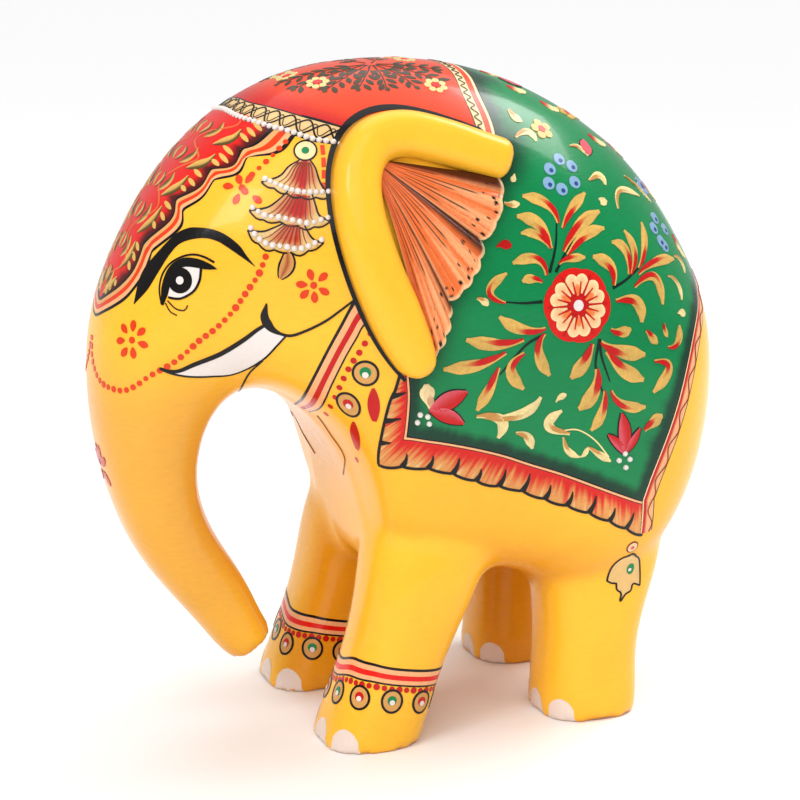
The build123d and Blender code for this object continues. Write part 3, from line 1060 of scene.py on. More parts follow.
def forehead():
    """red cloth on the forehead, with scroll leaves and a scalloped edge"""
    inner, outer = scalloped(FOREHEAD_INNER, INNER_END), scalloped(FOREHEAD_OUTER, OUTER_END)
    middle = meeting((-41, 0, 139.4), (-50, 0, 133.5), (-58.5, 0, 124), (-65, 0, 113), (-69.5, 0, 100.7))
    count = len(inner)
    share = np.linspace(0, 1, 26)[:, None, None]
    grid = resampled(middle, count=count) * (1 - share) + inner * share
    ground, border, leaves = Coat(BASE), Coat(BASE), Coat(MIDDLE)
    width = np.linspace(19, 7, count)[None]
    near = share[..., 0] * width - width
    ground.patch(grid, mixed(BRIGHT_RED, MAROON, ease(-3.6, -0.5, near + uneven(count, 0.5)[None])))
    ground.pieces("forehead_cloth", 0.16)
    striped(border, inner, outer, FOREHEAD_STRIPES)
    border.pieces("forehead_border", 0.14)

    middle = resampled(middle, count=count)
    for k in range(6):
        i = int((k + 0.75) / 6.5 * (count - 1))
        for lean, ahead, behind, size, colours in FOREHEAD_LEAVES:
            j, reach = min(count - 1, i + ahead), max(0, i - behind)
            root = middle[j] * (1 - lean * 0.82) + inner[j] * lean * 0.82
            tip = middle[reach] * (1 - lean) + inner[reach] * lean
            bend = (root + tip) / 2 + (inner[i] - middle[i]) * 0.09
            shape = size * np.sin(math.pi * np.clip(np.linspace(0, 1, 12), 0.05, 0.95)) ** 0.8
            shade = mixed(*colours, ease(0.3, 0.6, np.linspace(0, 1, 5)))[None]
            leaves.stroke(laid([root, bend, tip], 12), shape, shade, columns=5)
        for n in range(SCALLOP * k + 4, SCALLOP * k + 16, 4):
            root = middle[n] * 0.07 + inner[n] * 0.93
            tip = middle[n - 2] * 0.26 + inner[n - 2] * 0.74
            leaves.stroke(laid([root, tip], 6), np.array([0.3, 0.8, 1.0, 1.0, 0.8, 0.3]), GOLD)
    scroll = np.linspace(0.04, 0.94, 140)
    swing = 0.36 + 0.24 * np.sin(scroll * 26)
    index = (scroll * (count - 1)).astype(int)
    vine = middle[index] * (1 - swing[:, None]) + inner[index] * swing[:, None]
    leaves.stroke(resampled(smooth_rows(vine, 6)), 0.45, mixed(RED, ORANGE, 0.7))
    leaves.pieces("forehead_leaves", 0.2)


# ---------------------------------------------------------------- face

BROW_TOP = (
    (-65.5, 101.4), (-63.4, 107.8), (-60.5, 112.1), (-57, 116.2), (-54.7, 117.7), (-52.9, 118),
    (-50.5, 117.8), (-48.3, 116.8), (-46.1, 114.8), (-44.9, 112.8), (-43.3, 110.5),
)
BROW_LOW = (
    (-65.5, 101.4), (-63.1, 104.6), (-61, 108.2), (-58.4, 112.4), (-56.2, 114.8), (-52.6, 116), (-50, 115.5),
    (-47.8, 114), (-45.6, 112.3), (-43.3, 110.5),
)
LASH_TOP = (
    (-60.9, 102), (-60.5, 105.9), (-58.9, 109.7), (-56.5, 111.7), (-53.9, 111.8), (-51.6, 110.8),
    (-50.4, 109.8),
)
LASH_LOW = (
    (-60.6, 101.8), (-59.3, 105.2), (-58.7, 108.1), (-56.6, 109.9), (-54.6, 110), (-52.6, 109.7),
    (-50.4, 109.8),
)
EYE_UPPER = ((-59.6, 103.6), (-59.2, 106.4), (-58.4, 108.5), (-56.7, 110.1), (-54.7, 110.4), (-53.4, 109.8))
EYE_LOWER = ((-59.6, 103.6), (-58.5, 103.4), (-57.1, 103.6), (-55, 105.1), (-53.8, 107.4), (-53.4, 109.8))
LID = (
    (-60.9, 102), (-61, 105.2), (-60.2, 108.1), (-58.7, 110.4), (-56.5, 112), (-54.4, 112.6), (-52.6, 112.2),
    (-50.9, 111.2),
)
TUSK_TOP = (
    (-61.5, 88.2), (-58.1, 87.5), (-54.5, 89), (-49.6, 91.2), (-45.5, 94.2), (-42.8, 96.7), (-41.1, 98),
)
TUSK_LOW = (
    (-61.5, 88.2), (-58.9, 87), (-55.2, 86.2), (-50.7, 86), (-46.4, 86.1), (-43.3, 87.5), (-40.5, 90.1),
    (-38.6, 93.1), (-37.1, 95.4),
)
CHEEK = (
    (-41.1, 102.7), (-41.4, 99.8), (-40.3, 97.6), (-38.7, 96.3), (-36.3, 95.6), (-33.6, 96.6), (-29.7, 98.9),
    (-26.6, 101.4), (-24, 103.5),
)
CHAIN = (
    (-41.3, 112.6), (-42.7, 108.9), (-44.8, 105.5), (-47.6, 100.9), (-50.8, 97.1), (-53.8, 94.5), (-56.1, 92),
    (-58.8, 89.5), (-61.9, -19.1, 87.5), (-63.8, -17.9, 86.2), (-66.2, -16, 84), (-68.3, -13.9, 82.8),
    (-70.3, -10.4, 82.9), (-71.5, -7.1, 83.6), (-71.9, -4.4, 85.2), (-72.1, -1.5, 88.2), (-71.9, -0.4, 92),
)
FACE_FLOWER = (
    (-66, 97.1), (-64.7, 96), (-64.5, 93.3), (-66.3, 91.2), (-67.8, 91.2), (-68.3, 93.5), (-67.5, 96.2),
)
CHEEK_FLOWER = ((-32.7, 108.9), (-30.2, 108.4), (-30, 105.3), (-31.9, 104), (-33.9, 104.7), (-34.5, 106.8))
SPRIG = ((-42.5, 128.1), (-44.4, 127.8), (-46.6, 126.4), (-45.6, 123.9), (-43.9, 125.7), (-41.8, 124))
DASHES = (
    ((-27.4, 134.6), (-27.6, 132.8)), ((-27.7, 132.2), (-28, 130.4)), ((-28.1, 129.8), (-28.4, 128.2)),
    ((-28.5, 127.4), (-28.7, 126)),
)
TRUNK_PETALS = (
    ((-70.9, -0.6, 63.3), (-70.5, -4.4, 65.6)), ((-71, -0.6, 61.6), (-70.2, -4, 59.2)),
    ((-71, -0.8, 64), (-71.2, -1.3, 68)),
)


def flower_of_drops(coat, centre, petals):
    """red flower of separate brush drops"""
    middle = on_flank(*centre)
    coat.spot(middle, 0.75, ORANGE_RED)
    for petal in petals:
        tip = on_flank(*petal)
        away = (tip - middle) / np.linalg.norm(tip - middle)
        line = laid([tip - away * 1.3, tip, tip + away * 1.1], 7)
        coat.stroke(line, np.array([0.3, 0.9, 1.3, 1.55, 1.5, 1.2, 0.5]), ORANGE_RED)


def dots_along(coat, line, gap, radius, colour):
    """row of separate dots"""
    length = np.linalg.norm(np.diff(line, axis=0), axis=1).sum()
    for place in resampled(line, count=int(length / gap)):
        coat.spot(place, radius * rng.uniform(0.8, 1.15), colour)


def face():
    """brow, eye, tusk, mouth and the red dots of the face"""
    ground, lines, reds = Coat(BASE), Coat(MIDDLE), Coat(LOWER)
    lines.between(meeting(*BROW_TOP), meeting(*BROW_LOW), BLACK)
    upper, lower = meeting(*EYE_UPPER), meeting(*EYE_LOWER)
    ground.between(upper, lower, WHITE, rows=9)
    lines.stroke(lower, 0.5, BLACK)
    lines.between(meeting(*LASH_TOP), meeting(*LASH_LOW), BLACK)
    lid = meeting(*LID)
    lines.stroke(lid, np.linspace(0.3, 0.45, len(lid)), BLACK)
    lines.stroke(meeting((-59.8, 102.9), (-58.4, 101.3), (-56.8, 101), (-56.2, 102.1)), 0.25, BLACK)
    lines.stroke(meeting((-60.2, 102.4), (-59.4, 100.6), (-58.2, 99.9)), 0.22, BLACK)
    eye = Stamp(on_flank(-57.3, 107.2))
    lines.disc(eye, (0, 0), (1.4, 2.7), BLACK)
    lines.disc(eye, (0, 0), (0.5, 0.85), WHITE, lift=UPPER)
    ground.between(meeting(*TUSK_TOP), meeting(*TUSK_LOW, (-39.5, 96.3), (-41.1, 98)), WHITE, rows=9)
    edge = meeting(*TUSK_TOP)
    lines.stroke(edge, 0.35 + 0.7 * swell(0.1, 0.85, len(edge)), BLACK)
    lines.stroke(meeting(*TUSK_LOW), 0.42, BLACK)
    cheek = meeting(*CHEEK)
    lines.stroke(cheek, np.interp(np.arange(len(cheek)), [0, 4, 7, 12, 40], [0.3, 1.7, 2.0, 0.6, 0.4]), BLACK)
    lines.stroke(meeting((-40.7, 89.6), (-42.6, 86.2), (-42.8, 82), (-41, 78.4)), 0.35, BLACK)
    dots_along(reds, meeting(*CHAIN), 1.75, 0.68, ORANGE_RED)
    flower_of_drops(reds, (-66.4, 94), FACE_FLOWER)
    flower_of_drops(reds, (-32.1, 106.6), CHEEK_FLOWER)
    flower_of_drops(reds, (-44.2, 126.2), SPRIG)
    dots_along(reds, meeting((-41.9, 128.8), (-38, 132), (-34.2, 135.2)), 1.5, 0.6, ORANGE_RED)
    for root, tip in DASHES:
        reds.stroke(meeting(root, tip), 0.9, ORANGE_RED)
    trunk_flower(reds)
    ground.pieces("face_white", 0.06)
    lines.pieces("face_lines", 0.1)
    reds.pieces("face_dots", 0.15)


def trunk_flower(coat):
    """red petals on the front of the trunk"""
    for petal in TRUNK_PETALS:
        coat.stroke(laid(petal, 9), 0.3 + 1.9 * swell(0.05, 0.9, 9), RED)


# ---------------------------------------------------------------- tassel on the temple

BELLS = (
    (
        ((-32.5, 131.7), (-34.8, 130.5), (-36.9, 128.6), (-40.5, 127.4)),
        ((-30.4, 131.7), (-29.7, 130.2), (-29.2, 127.2), (-27.6, 124.6)),
        ((-40.5, 127.4), (-38, 126.1), (-35.1, 124.9), (-32, 124.5), (-27.6, 124.6)),
    ),
    (
        ((-35.8, 125.7), (-38, 123.9), (-40.2, 122.5), (-43.6, 121.8)),
        ((-31.2, 125.1), (-30.8, 122.9), (-30.3, 120.9), (-28.2, 119.7)),
        ((-43.6, 121.8), (-41.4, 120.1), (-38.6, 119.8), (-35.2, 119), (-32.3, 118.5), (-28.2, 119.7)),
    ),
    (
        ((-37.4, 119.4), (-39.6, 118.4), (-41.6, 117.7), (-44.3, 117.9)),
        ((-33.4, 118.9), (-32.4, 116.8), (-31.5, 115.9), (-29.9, 115.4)),
        ((-44.3, 117.9), (-43.4, 116.1), (-41.1, 114.3), (-38, 113.9), (-34.4, 113.3), (-29.9, 115.4)),
    ),
)


def tassel():
    """three painted bells hanging from a jewel"""
    ground, lines, pearls = Coat(BASE), Coat(MIDDLE), Coat(MIDDLE)
    for left, right, low in BELLS:
        left, right, low = meeting(*left), meeting(*right), meeting(*low)
        left, right = resampled(left, count=14), resampled(right, count=14)
        low = resampled(low, count=21)
        grid = hanging(left, right, low, 1.5)
        from_middle = np.abs(np.linspace(0, 1, 21)[None] - 0.5)
        heat = 1 - ease(0.1, 0.42, from_middle) * 0.8 - ease(0.45, 0.95, np.linspace(0, 1, 14)[:, None])
        threads = uneven(21, 0.4)[None]
        ground.patch(grid, mixed(mixed(TAN, PALE_GOLD, 0.5), RED, heat + threads))
        for k in range(3, 18, 2):
            lines.stroke(skin.nearest(grid[1:11, k]), np.linspace(0.3, 0.12, 10), mixed(RUST, BLACK, 0.3))
        for side in (left, right):
            lines.stroke(side, np.linspace(0.3, 0.45, 14), BLACK)
        scallop = low + np.array([0, 0, -0.5]) * np.abs(np.sin(np.linspace(0, 5 * math.pi, 21)))[:, None]
        lines.stroke(skin.nearest(scallop), 0.35, BLACK)
        for place in resampled(grid[-2], count=12):
            pearls.bead(place + np.array([0, 0, 0.6]), rng.uniform(0.55, 0.72))
    jewel = Stamp(on_flank(-30.9, 133.6))
    ground.disc(jewel, (0, 0), (1.2, 2.35), CREAM)
    lines.disc(jewel, (0, 0), (0.5, 0.8), GREEN)
    ring(lines, jewel, 2.35, 0.35)
    drop = meeting((-37, 113.6), (-37.2, 111), (-38.6, 108))
    shape = swell(0.08, 0.97, len(drop)) ** 0.8
    ground.stroke(drop, 3.0 * shape + 0.6, BLACK, columns=5)
    lines.stroke(drop, 2.7 * shape, mixed(TAN, RUST, (0.1, 0.3, 0.9, 0.3, 0.1))[None], columns=5)
    ground.pieces("tassel_bells", 0.22, (400, 400, 60))
    lines.pieces("tassel_lines", 0.1)
    pearls.pieces("tassel_pearls", 0.05)


def ring(coat, stamp, radius, width, squash=1.0):
    """thin black ring drawn with the brush"""
    angles = np.linspace(0, 2 * math.pi, 29)
    drawing = np.stack([radius * np.cos(angles), radius * squash * np.sin(angles)], 1)
    coat.stroke(stamp.at(drawing), width, BLACK)


def medallion(grounds, tops, place, radius, jewel, squash=1.0):
    """round tan jewel with a black ring, a coloured stone and a white glint"""
    stamp = Stamp(place)
    grounds.disc(stamp, (0, 0), (radius * 0.6, radius), TAN, squash)
    ring(tops, stamp, radius, 0.5, squash)
    tops.disc(stamp, (0, radius * 0.08), (radius * 0.25, radius * 0.46), jewel)
    tops.disc(stamp, (0, -radius * 0.12), (radius * 0.12, radius * 0.26), WHITE, lift=UPPER)


# ---------------------------------------------------------------- collar, anklets, pendant and toenails

COLLAR_FRONT = (
    (-22, 107), (-24.2, 103.5), (-26.6, 98.6), (-29, 92.9), (-30.5, 87.3), (-30.3, 79), (-29.6, 75),
)
COLLAR_REAR = (
    (-17.5, 101.5), (-21.8, 98.2), (-23.4, 95.2), (-25.4, 90.7), (-26.9, 84.7), (-27, 78), (-26.6, 74.6),
)
COLLAR_STRIPES = [(0.14, BLACK), (0.42, PEACH), (0.68, RED), (0.92, PEACH), (1, BLACK)]
COLLAR_DOTS = (
    (-20.8, 96.3), (-21.9, 94.1), (-22.9, 92.1), (-23.9, 90.3), (-24.7, 88.3), (-25.3, 86.1), (-25.7, 83.8),
    (-25.9, 81.2), (-26, 78.6), (-25.7, 76),
)


def collar():
    """striped collar that comes out from under the ear, with red dots, jewels and drops"""
    ground, tops = Coat(BASE), Coat(MIDDLE)
    striped(ground, meeting(*COLLAR_FRONT), meeting(*COLLAR_REAR), COLLAR_STRIPES)
    for place in COLLAR_DOTS:
        ground.spot(on_flank(*place), 0.68, RED)
    medallion(ground, tops, on_flank(-21.5, 87.5), 2.7, GREEN)
    medallion(ground, tops, on_flank(-23.5, 79.8), 2.7, RED, 1.15)
    for root, tip in (((-19.8, 84.2), (-18.9, 76.5)), ((-21.9, 75.6), (-19.7, 68.3))):
        line = resampled(meeting(root, tip), count=12)
        ground.stroke(line, 0.3 + 2.5 * swell(0.02, 0.93, 12) ** 0.8, RED, columns=5)
    ground.spot(on_flank(-18.8, 65.2), 0.7, RED)
    tops.stroke(meeting((-25.7, 74.3), (-22.3, 69.6), (-19.2, 64.1), (-17.5, 58.5)), 0.22, RUST)
    ground.pieces("collar", 0.16)
    tops.pieces("collar_lines", 0.12)


FRONT_LEG_MIDDLE = (-11.5, -20.7)
FRONT_FOOT_MIDDLE = (-14.5, -20.8)
REAR_FOOT_MIDDLE = (38, -20.7)
ANKLET_START = 259  # bearing of the anklet's first jewel, in degrees
ANKLET_DROPS = (0, 4.2, 5.0, 7.8)  # upper and lower edge of the stripes, the red dots and the jewels
ANKLET_STRIPES = [(0.14, BLACK), (0.4, PEACH), (0.68, BRIGHT_RED), (0.9, PEACH), (1, BLACK)]
NAIL_BEARINGS = (137, 179, 221)  # degrees
NAIL_SPREAD = 17  # degrees to each side
NAIL_HEIGHT = 5.2


def round_leg(middle, drop):
    """line round a front leg, a drop below the anklet's upper edge, from the middle of the outer side"""
    out = []
    for angle in np.linspace(0, 2 * math.pi, 90) + math.radians(ANKLET_START):
        way = np.array([math.cos(angle), math.sin(angle), 0])
        x, y = middle[0] + 12 * way[0], middle[1] + 12 * way[1]
        height = min(20.5, 16.7 - 0.22 * x) - 2 * ease(-28, -16, y) - drop
        target = np.array([middle[0], middle[1], height])
        start = target + 19 * way * [1, 0.85, 0]
        direction = (target - start) / np.linalg.norm(target - start)
        out.append(skin.tree.ray_cast(start.tolist(), direction.tolist())[0][:])
    return np.array(out)


def anklet():
    """striped band round a front leg, with red dots and jewels below"""
    ground, tops = Coat(BASE), Coat(MIDDLE)
    lines = [round_leg(FRONT_LEG_MIDDLE, drop) for drop in ANKLET_DROPS]
    striped(ground, lines[0], lines[1], ANKLET_STRIPES)
    for k, place in enumerate(resampled(lines[2], count=44)[:-1]):
        ground.spot(place, 0.62 + 0.12 * (k % 2), RED)
    for k, place in enumerate(resampled(lines[3], count=11)[:-1]):
        medallion(ground, tops, place, 2.3, (GREEN, RED)[k % 2], 1.12)
    ground.pieces("anklet", 0.16)
    tops.pieces("anklet_lines", 0.12)


def toenails():
    """pale nails at the front of every foot"""
    coat = Coat(BASE)
    for middle in (FRONT_FOOT_MIDDLE, REAR_FOOT_MIDDLE):
        for bearing in NAIL_BEARINGS:
            rows = []
            for up in np.linspace(0, 1, 8):
                row = []
                for side in np.linspace(-1, 1, 13):
                    angle = math.radians(bearing + NAIL_SPREAD * side)
                    height = 0.25 + up * NAIL_HEIGHT * math.sqrt(max(0.0, 1 - side**2))
                    way = np.array([math.cos(angle), math.sin(angle), 0])
                    start = np.array([*middle, height]) + 40 * way
                    row.append(skin.tree.ray_cast(start.tolist(), (-way).tolist())[0][:])
                rows.append(row)
            coat.patch(np.array(rows), mixed(WHITE, PEACH, 0.18))
    coat.pieces("toenails", 0.06)


def pendant():
    """bell drop under the blanket's rear corner"""
    ground, tops = Coat(BASE), Coat(MIDDLE)
    ground.spot(on_flank(42.4, 42.3), 1.6, mixed(RUST, BLACK, 0.4))
    tops.spot(on_flank(42.4, 42.3), 1.25, mixed(PEACH, CREAM, 0.5))
    tops.spot(on_flank(42.4, 42.2), 0.5, PINK, UPPER)
    left = meeting((42.4, 39.9), (40.4, 39.6), (38.8, 38.2), (38.1, 36), (37.8, 33.9))
    right = meeting((43.9, 39.7), (45.5, 38.6), (46.2, 36.8), (46.5, 34), (46.5, 31.6))
    low = meeting(
        (37.8, 33.9), (39.2, 33.1), (40.2, 33.1), (40.3, 31.5), (41.5, 30.5), (41.1, 28.4), (42.6, 30.2),
        (44, 30.8), (44.5, 32.4), (46.5, 31.6),
    )
    left, right, low = resampled(left, count=12), resampled(right, count=12), resampled(low, count=41)
    ground.patch(hanging(left, right, low, 2), mixed(TAN, PALE_GOLD, 0.35))
    for line in (left, right, low):
        tops.stroke(line, 0.4, BLACK)
    tops.stroke(meeting((42, 39.9), (43.2, 40.3), (44.2, 39.7)), 0.5, BLACK)
    tops.disc(Stamp(on_flank(43.6, 36.2)), (0, 0), (0.6, 1.0), GREEN, 1.4)
    tops.spot(on_flank(43.4, 36), 0.42, WHITE, UPPER)
    ground.pieces("pendant", 0.16)
    tops.pieces("pendant_lines", 0.12)


# ---------------------------------------------------------------- ears

RIM_PATH = (  # (x, z) of the side view and half of the rim's width
    (12.2, 129.8, 4.6), (5, 132.2, 4.8), (-3, 134.8, 5.0), (-11, 136.4, 5.1), (-17.8, 134.6, 5.2),
    (-21.8, 129, 5.1), (-22.4, 120.5, 5.2), (-20.0, 110.2, 5.5), (-15.8, 99.5, 5.6), (-12.3, 91.5, 4.6),
    (-10.6, 87.0, 2.9),
)
RIM_HEIGHT = 6.4
RIM_SINK = 6.0  # how far the rim's sides go down into the body
SQUARENESS = 2.7  # power of the rim's section: 2 is an ellipse, more is squarer
END_ROUNDING = 3.4  # length of the rim's rounded ends


def standing_out(normals):
    """directions in which the ear stands out from the flank: sideways, and a little along the normals"""
    return normals * 0.3 + np.array([0, -0.75, 0])


def ear_rim():
    """thick rolled rim, swept along its path with blunt rounded ends"""
    path = curve(RIM_PATH, LINE_STEP)
    base = flank(path[:, :2])
    out = smooth_rows(standing_out(skin.snap(base)[1]), 10)
    out /= np.linalg.norm(out, axis=1)[:, None]
    base = smooth_rows(base, 4)
    along = np.concatenate([[0], np.cumsum(np.linalg.norm(np.diff(base, axis=0), axis=1))])
    side = np.cross(np.gradient(base, axis=0), out)
    side /= np.linalg.norm(side, axis=1)[:, None]
    angles = np.linspace(0, math.pi, 27)
    wide = np.sign(np.cos(angles)) * np.abs(np.cos(angles)) ** (2 / SQUARENESS)
    tall = np.abs(np.sin(angles)) ** (2 / SQUARENESS)
    wide = np.concatenate([[1, 1], wide, [-1, -1]])
    to_end = np.minimum(along + 0.12, along[-1] - along + 0.12)
    rounding = np.sqrt(1 - np.clip(1 - to_end / END_ROUNDING, 0, 1) ** 2.4)
    rings = base[:, None] + side[:, None] * (wide[None] * (path[:, 2] * rounding)[:, None])[..., None]
    lift = tall[None] * (RIM_HEIGHT * rounding)[:, None]
    deep = np.ones((len(base), 1)) * [-RIM_SINK, -RIM_SINK / 2]
    lift = np.concatenate([deep, lift, deep[:, ::-1]], 1)
    rings = rings + out[:, None] * lift[..., None]
    count, size = rings.shape[:2]
    index = np.arange(count * size).reshape(count, size)
    nxt = np.roll(index, -1, 1)
    quads = np.stack([index[:-1], index[1:], nxt[1:], nxt[:-1]], -1).reshape(-1, 4).tolist()
    quads += [index[0].tolist(), index[-1][::-1].tolist()]
    points = rings.reshape(-1, 3)
    # painted shade: the rim darkens to a deep amber low down, where it goes into the flank
    low = 1 - ease(-0.5, 2.6, lift.reshape(-1))
    colours = mixed(YELLOW, AMBER * 0.55, 0.75 * low)
    seam = (wide[None] < 0) * (1 - ease(1.3, 2.3, lift))
    return points, quads, mixed(colours, BLACK, 0.9 * seam.reshape(-1))


def rim_side(gap):
    """line on the body along the front side of the rim"""
    path = curve(RIM_PATH, LINE_STEP)
    turn = np.gradient(path[:, :2], axis=0)
    turn /= np.linalg.norm(turn, axis=1)[:, None]
    around = path[:, :2] + (path[:, 2:] + gap) * np.stack([turn[:, 1], -turn[:, 0]], 1)
    line = smooth_rows(resampled(smooth_rows(flank(around), 12), 0.8), 16)
    return skin.nearest(line)


FAN_HUB = (-18.5, 132.0)
FAN_LOBES = ((8.6, 127.4), (3.0, 114.8), (-5.2, 102.8), (-10.0, 90.2))  # notches between the three folds
FAN_SCALLOPS = (3, 4, 4)  # small scallops on the edge of each fold
FAN_STEPS = 84  # points along the edge of each fold
# colours of the fan; the shaded orange and the shadow colour are painted shade on the folds
FAN_ORANGE = srgb(222, 104, 44)
FAN_SHADED_ORANGE = srgb(150, 56, 24)
FAN_SHADOW = srgb(58, 20, 14)


def fan_edge():
    """scalloped edge of the fan in the side view, and the share along each lobe"""
    points, share = [], []
    for a, b, scallops in zip(FAN_LOBES, FAN_LOBES[1:], FAN_SCALLOPS):
        a, b = np.array(a), np.array(b)
        out = np.array([a[1] - b[1], b[0] - a[0]])
        out = out / np.linalg.norm(out)
        t = np.linspace(0, 1, FAN_STEPS, endpoint=False)
        bulge = 1.5 * np.sin(math.pi * t) ** 0.5 + 0.5 * np.abs(np.sin(math.pi * scallops * t))
        points.append(a + (b - a) * t[:, None] + bulge[:, None] * out)
        share.append(t)
    return np.concatenate(points), np.concatenate(share)


def ear_fan():
    """inner ear: three big folds that open from the rim's corner, each gently pleated"""
    edge, share = fan_edge()
    steps = np.linspace(0.08, 1, 62)
    hub = np.array(FAN_HUB)
    plan = hub + (edge - hub)[None] * steps[:, None, None]
    rows, columns = plan.shape[:2]
    base = flank(plan.reshape(-1, 2))
    faces = np.array([skin.tree.find_nearest(place)[2] for place in base.tolist()])
    out = standing_out(skin.normals_at(base, faces))
    r = steps[:, None]
    t = share[None]
    fold = np.sin(math.pi * t) ** 0.6
    pleat = np.abs(np.sin(math.pi * 3.5 * t + 0.4)) ** 0.8
    height = 0.9 + 2.1 * r * fold + 0.45 * r * pleat + 0.4 * r
    top = base + out * height.reshape(-1)[:, None]
    streak = np.convolve(rng.normal(0, 1, columns + 8), np.ones(5) / 5, "same")[4:-4][None]
    # painted light on the folds: each fold is lighter along its middle and on its pleats and darker to its
    # sides, with random brush streaks on top
    fold_light_and_streaks = 0.24 + 0.5 * np.sin(math.pi * t) + 0.22 * pleat + 0.3 * streak
    fold_light_and_streaks = fold_light_and_streaks + 0.05 * rng.normal(0, 1, (rows, columns))
    colours = mixed(FAN_SHADED_ORANGE, FAN_ORANGE, ease(0.0, 0.55, fold_light_and_streaks))
    # painted highlight: peach where the folds are lightest, away from the hub
    colours = mixed(colours, PEACH, 0.9 * ease(0.6, 1.1, fold_light_and_streaks) * ease(0.35, 0.8, r))
    # painted shadow along the upper side of every fold
    colours = mixed(colours, FAN_SHADOW, 0.95 * ease(0.27, 0.1, t + 0.04 * (1 - r)))
    colours = mixed(colours, PEACH, 0.7 * ease(0.95, 0.975, t) * ease(0.1, 0.3, r))
    colours = mixed(colours, BLACK, fan_lines(r, t))
    colours = mixed(colours, CREAM, 0.7 * ease(0.978, 0.99, r))
    colours = mixed(colours, BLACK, fan_speckles(rows, columns))
    skirt = base[-columns:] - out[-columns:] * 2.5
    points = np.concatenate([top, skirt])
    quads = grid_quads(np.arange(len(points)).reshape(rows + 1, columns))[:, [0, 3, 2, 1]]
    # the skirt that closes the fan's edge down to the body is all painted shadow
    colours = np.concatenate([colours.reshape(-1, 3), np.tile(FAN_SHADOW, (columns, 1))])
    return points, quads.tolist(), colours


def fan_lines(r, t):
    """share of black in the thin lines that run out from the hub"""
    lobe = np.repeat(np.arange(len(FAN_SCALLOPS)), FAN_STEPS)[None]
    out = np.zeros((r.shape[0], t.shape[1]))
    for number in range(len(FAN_SCALLOPS)):
        for k in range(6):
            place = 0.2 + 0.13 * k + rng.uniform(-0.02, 0.02)
            first, last = rng.uniform(0.1, 0.25), rng.uniform(0.5, 0.86)
            drift = rng.uniform(-0.05, 0.05) * r
            near = ease(0.022, 0.010, np.abs(t + drift - place)) * (lobe == number)
            out = np.maximum(out, near * ease(first, first + 0.05, r) * ease(last, last - 0.08, r))
    return 0.9 * out


def fan_speckles(rows, columns):
    """share of black in the short brush marks near the fan's edge"""
    out = np.zeros((rows, columns))
    for _ in range(46):
        row = int(rows * rng.uniform(0.80, 0.96))
        column = int(rng.uniform(6, columns - 8))
        long = int(rng.uniform(2, 5))
        out[row : row + 1 + int(rng.uniform(0, 2)), column : column + long] = 1
    return out


def ears():
    """both ears: rim and pleated fan in place of the flat CAD ears, and the black line round them"""
    rim_paint = lacquer("ear_rim_paint", 0.07, (60, 60, 60), 0.3)
    fan_paint = lacquer("ear_fan_paint", 0.2, (120, 120, 120), 0.3)
    shapes = (("rim", ear_rim(), rim_paint), ("fan", ear_fan(), fan_paint))
    for side in ("left", "right"):
        for name, (points, quads, colours), paint in shapes:
            if side == "right":
                points, quads = points * MIRROR, [quad[::-1] for quad in quads]
            piece = new_piece(f"ear_{name}_{side}", points, quads, paint, colours)
            if name == "rim":
                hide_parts(f"{side}_ear")
    lines = Coat(UPPER)
    line = resampled(smooth_rows(rim_side(0.3)[8:], 6))
    width = np.interp(np.linspace(0, 1, len(line)), [0, 0.25, 0.5, 1], [0.6, 1.7, 1.5, 0.8])
    lines.stroke(line, width, BLACK, columns=5)
    lines.pieces("ear_outline", 0.1)


# ---------------------------------------------------------------- stage


def floor_material():
    """pale matt paper"""
    m, shader = new_material("floor")
    shader.inputs["Base Color"].default_value = (0.93, 0.93, 0.93, 1)
    shader.inputs["Roughness"].default_value = 0.6
    return m


def stage():
    """plain pale floor under a white sky"""
    half = 9  # metres
    mesh = bpy.data.meshes.new("floor")
    corners = [(-half, -half, 0), (half, -half, 0), (half, half, 0), (-half, half, 0)]
    mesh.from_pydata(corners, [], [(0, 1, 2, 3)])
    mesh.materials.append(floor_material())
    floor = bpy.data.objects.new("floor", mesh)
    bpy.context.collection.objects.link(floor)
    world = bpy.data.worlds.new("studio")
    world.use_nodes = True
    world.node_tree.nodes["Background"].inputs["Color"].default_value = (1, 1, 1, 1)
    world.node_tree.nodes["Background"].inputs["Strength"].default_value = 0.5
    bpy.context.scene.world = world


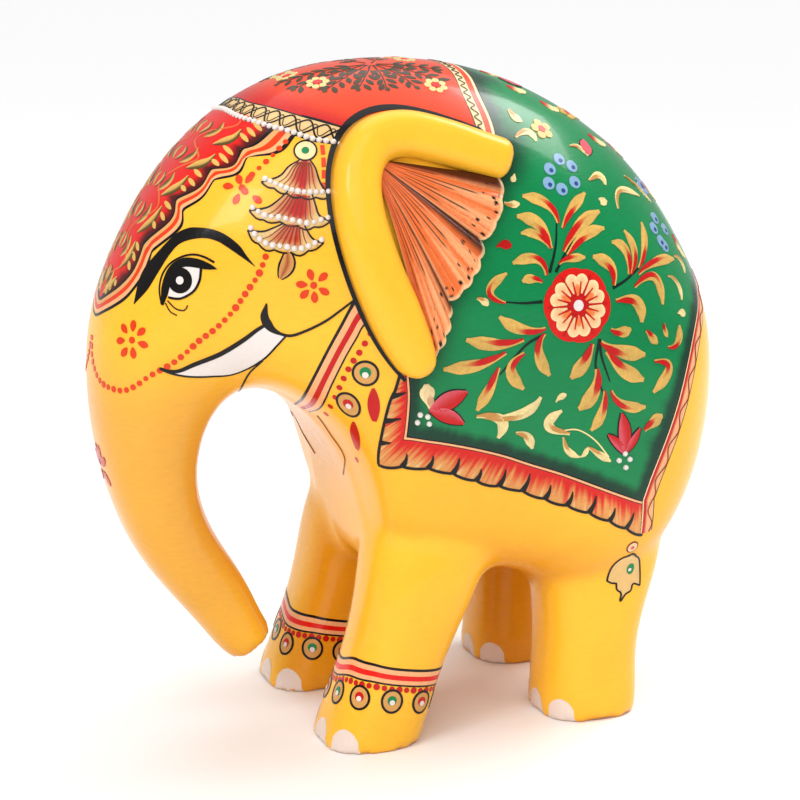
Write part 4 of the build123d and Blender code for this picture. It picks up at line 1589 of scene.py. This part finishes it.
def area_light(name, place, target, size, power):
    """soft rectangular lamp"""
    data = bpy.data.lights.new(name, "AREA")
    data.shape = "RECTANGLE"
    data.size, data.size_y = size
    data.energy = power
    lamp = bpy.data.objects.new(name, data)
    lamp.location = place
    lamp.rotation_mode = "QUATERNION"
    lamp.rotation_quaternion = (Vector(target) - Vector(place)).to_track_quat("-Z", "Y")
    bpy.context.collection.objects.link(lamp)


def sun(name, source, strength, spread):
    """far lamp with a soft edge, in the direction of a point"""
    data = bpy.data.lights.new(name, "SUN")
    data.energy = strength
    data.angle = math.radians(spread)
    lamp = bpy.data.objects.new(name, data)
    lamp.rotation_mode = "QUATERNION"
    lamp.rotation_quaternion = (-Vector(source)).to_track_quat("-Z", "Y")
    bpy.context.collection.objects.link(lamp)


def camera():
    """view of the left flank, a little from the front and from above"""
    azimuth, elevation = math.radians(-20.8), math.radians(13.25)
    distance = 0.5
    target = Vector((0, 0, 0.072))
    level = math.cos(elevation)
    back = Vector((math.sin(azimuth) * level, -math.cos(azimuth) * level, math.sin(elevation)))
    data = bpy.data.cameras.new("camera")
    data.sensor_width = 36
    data.lens = 97.7
    data.clip_start = 0.01
    cam = bpy.data.objects.new("camera", data)
    cam.location = target + distance * back
    cam.rotation_mode = "QUATERNION"
    cam.rotation_quaternion = (-back).to_track_quat("-Z", "Y")
    bpy.context.collection.objects.link(cam)
    bpy.context.scene.camera = cam


def other_materials():
    """paint of the tail and wood of the pegs, which keep their CAD shapes"""
    bamboo, tail_paint = bamboo_material(), tail_material()
    for name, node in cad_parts.items():
        if name == "tail" or "peg" in name:
            node.data.materials.clear()
            node.data.materials.append(tail_paint if name == "tail" else bamboo)


blanket()
blanket_flowers()
big_flower()
cap()
headband()
forehead()
face()
tassel()
collar()
anklet()
toenails()
pendant()
ears()
other_materials()
stage()
camera()
sun("front_sun", (-0.35, -0.75, 0.75), 1.3, 60)
sun("top_sun", (0.2, 0.35, 1), 1.05, 60)
area_light("front_panel", (-0.62, -0.35, 0.62), (0, 0, 0.09), (0.3, 0.3), 2.2)
area_light("back_panel", (0.42, 0.05, 0.6), (0, 0, 0.1), (0.4, 0.25), 2.6)
bpy.context.scene.view_settings.view_transform = "Standard"
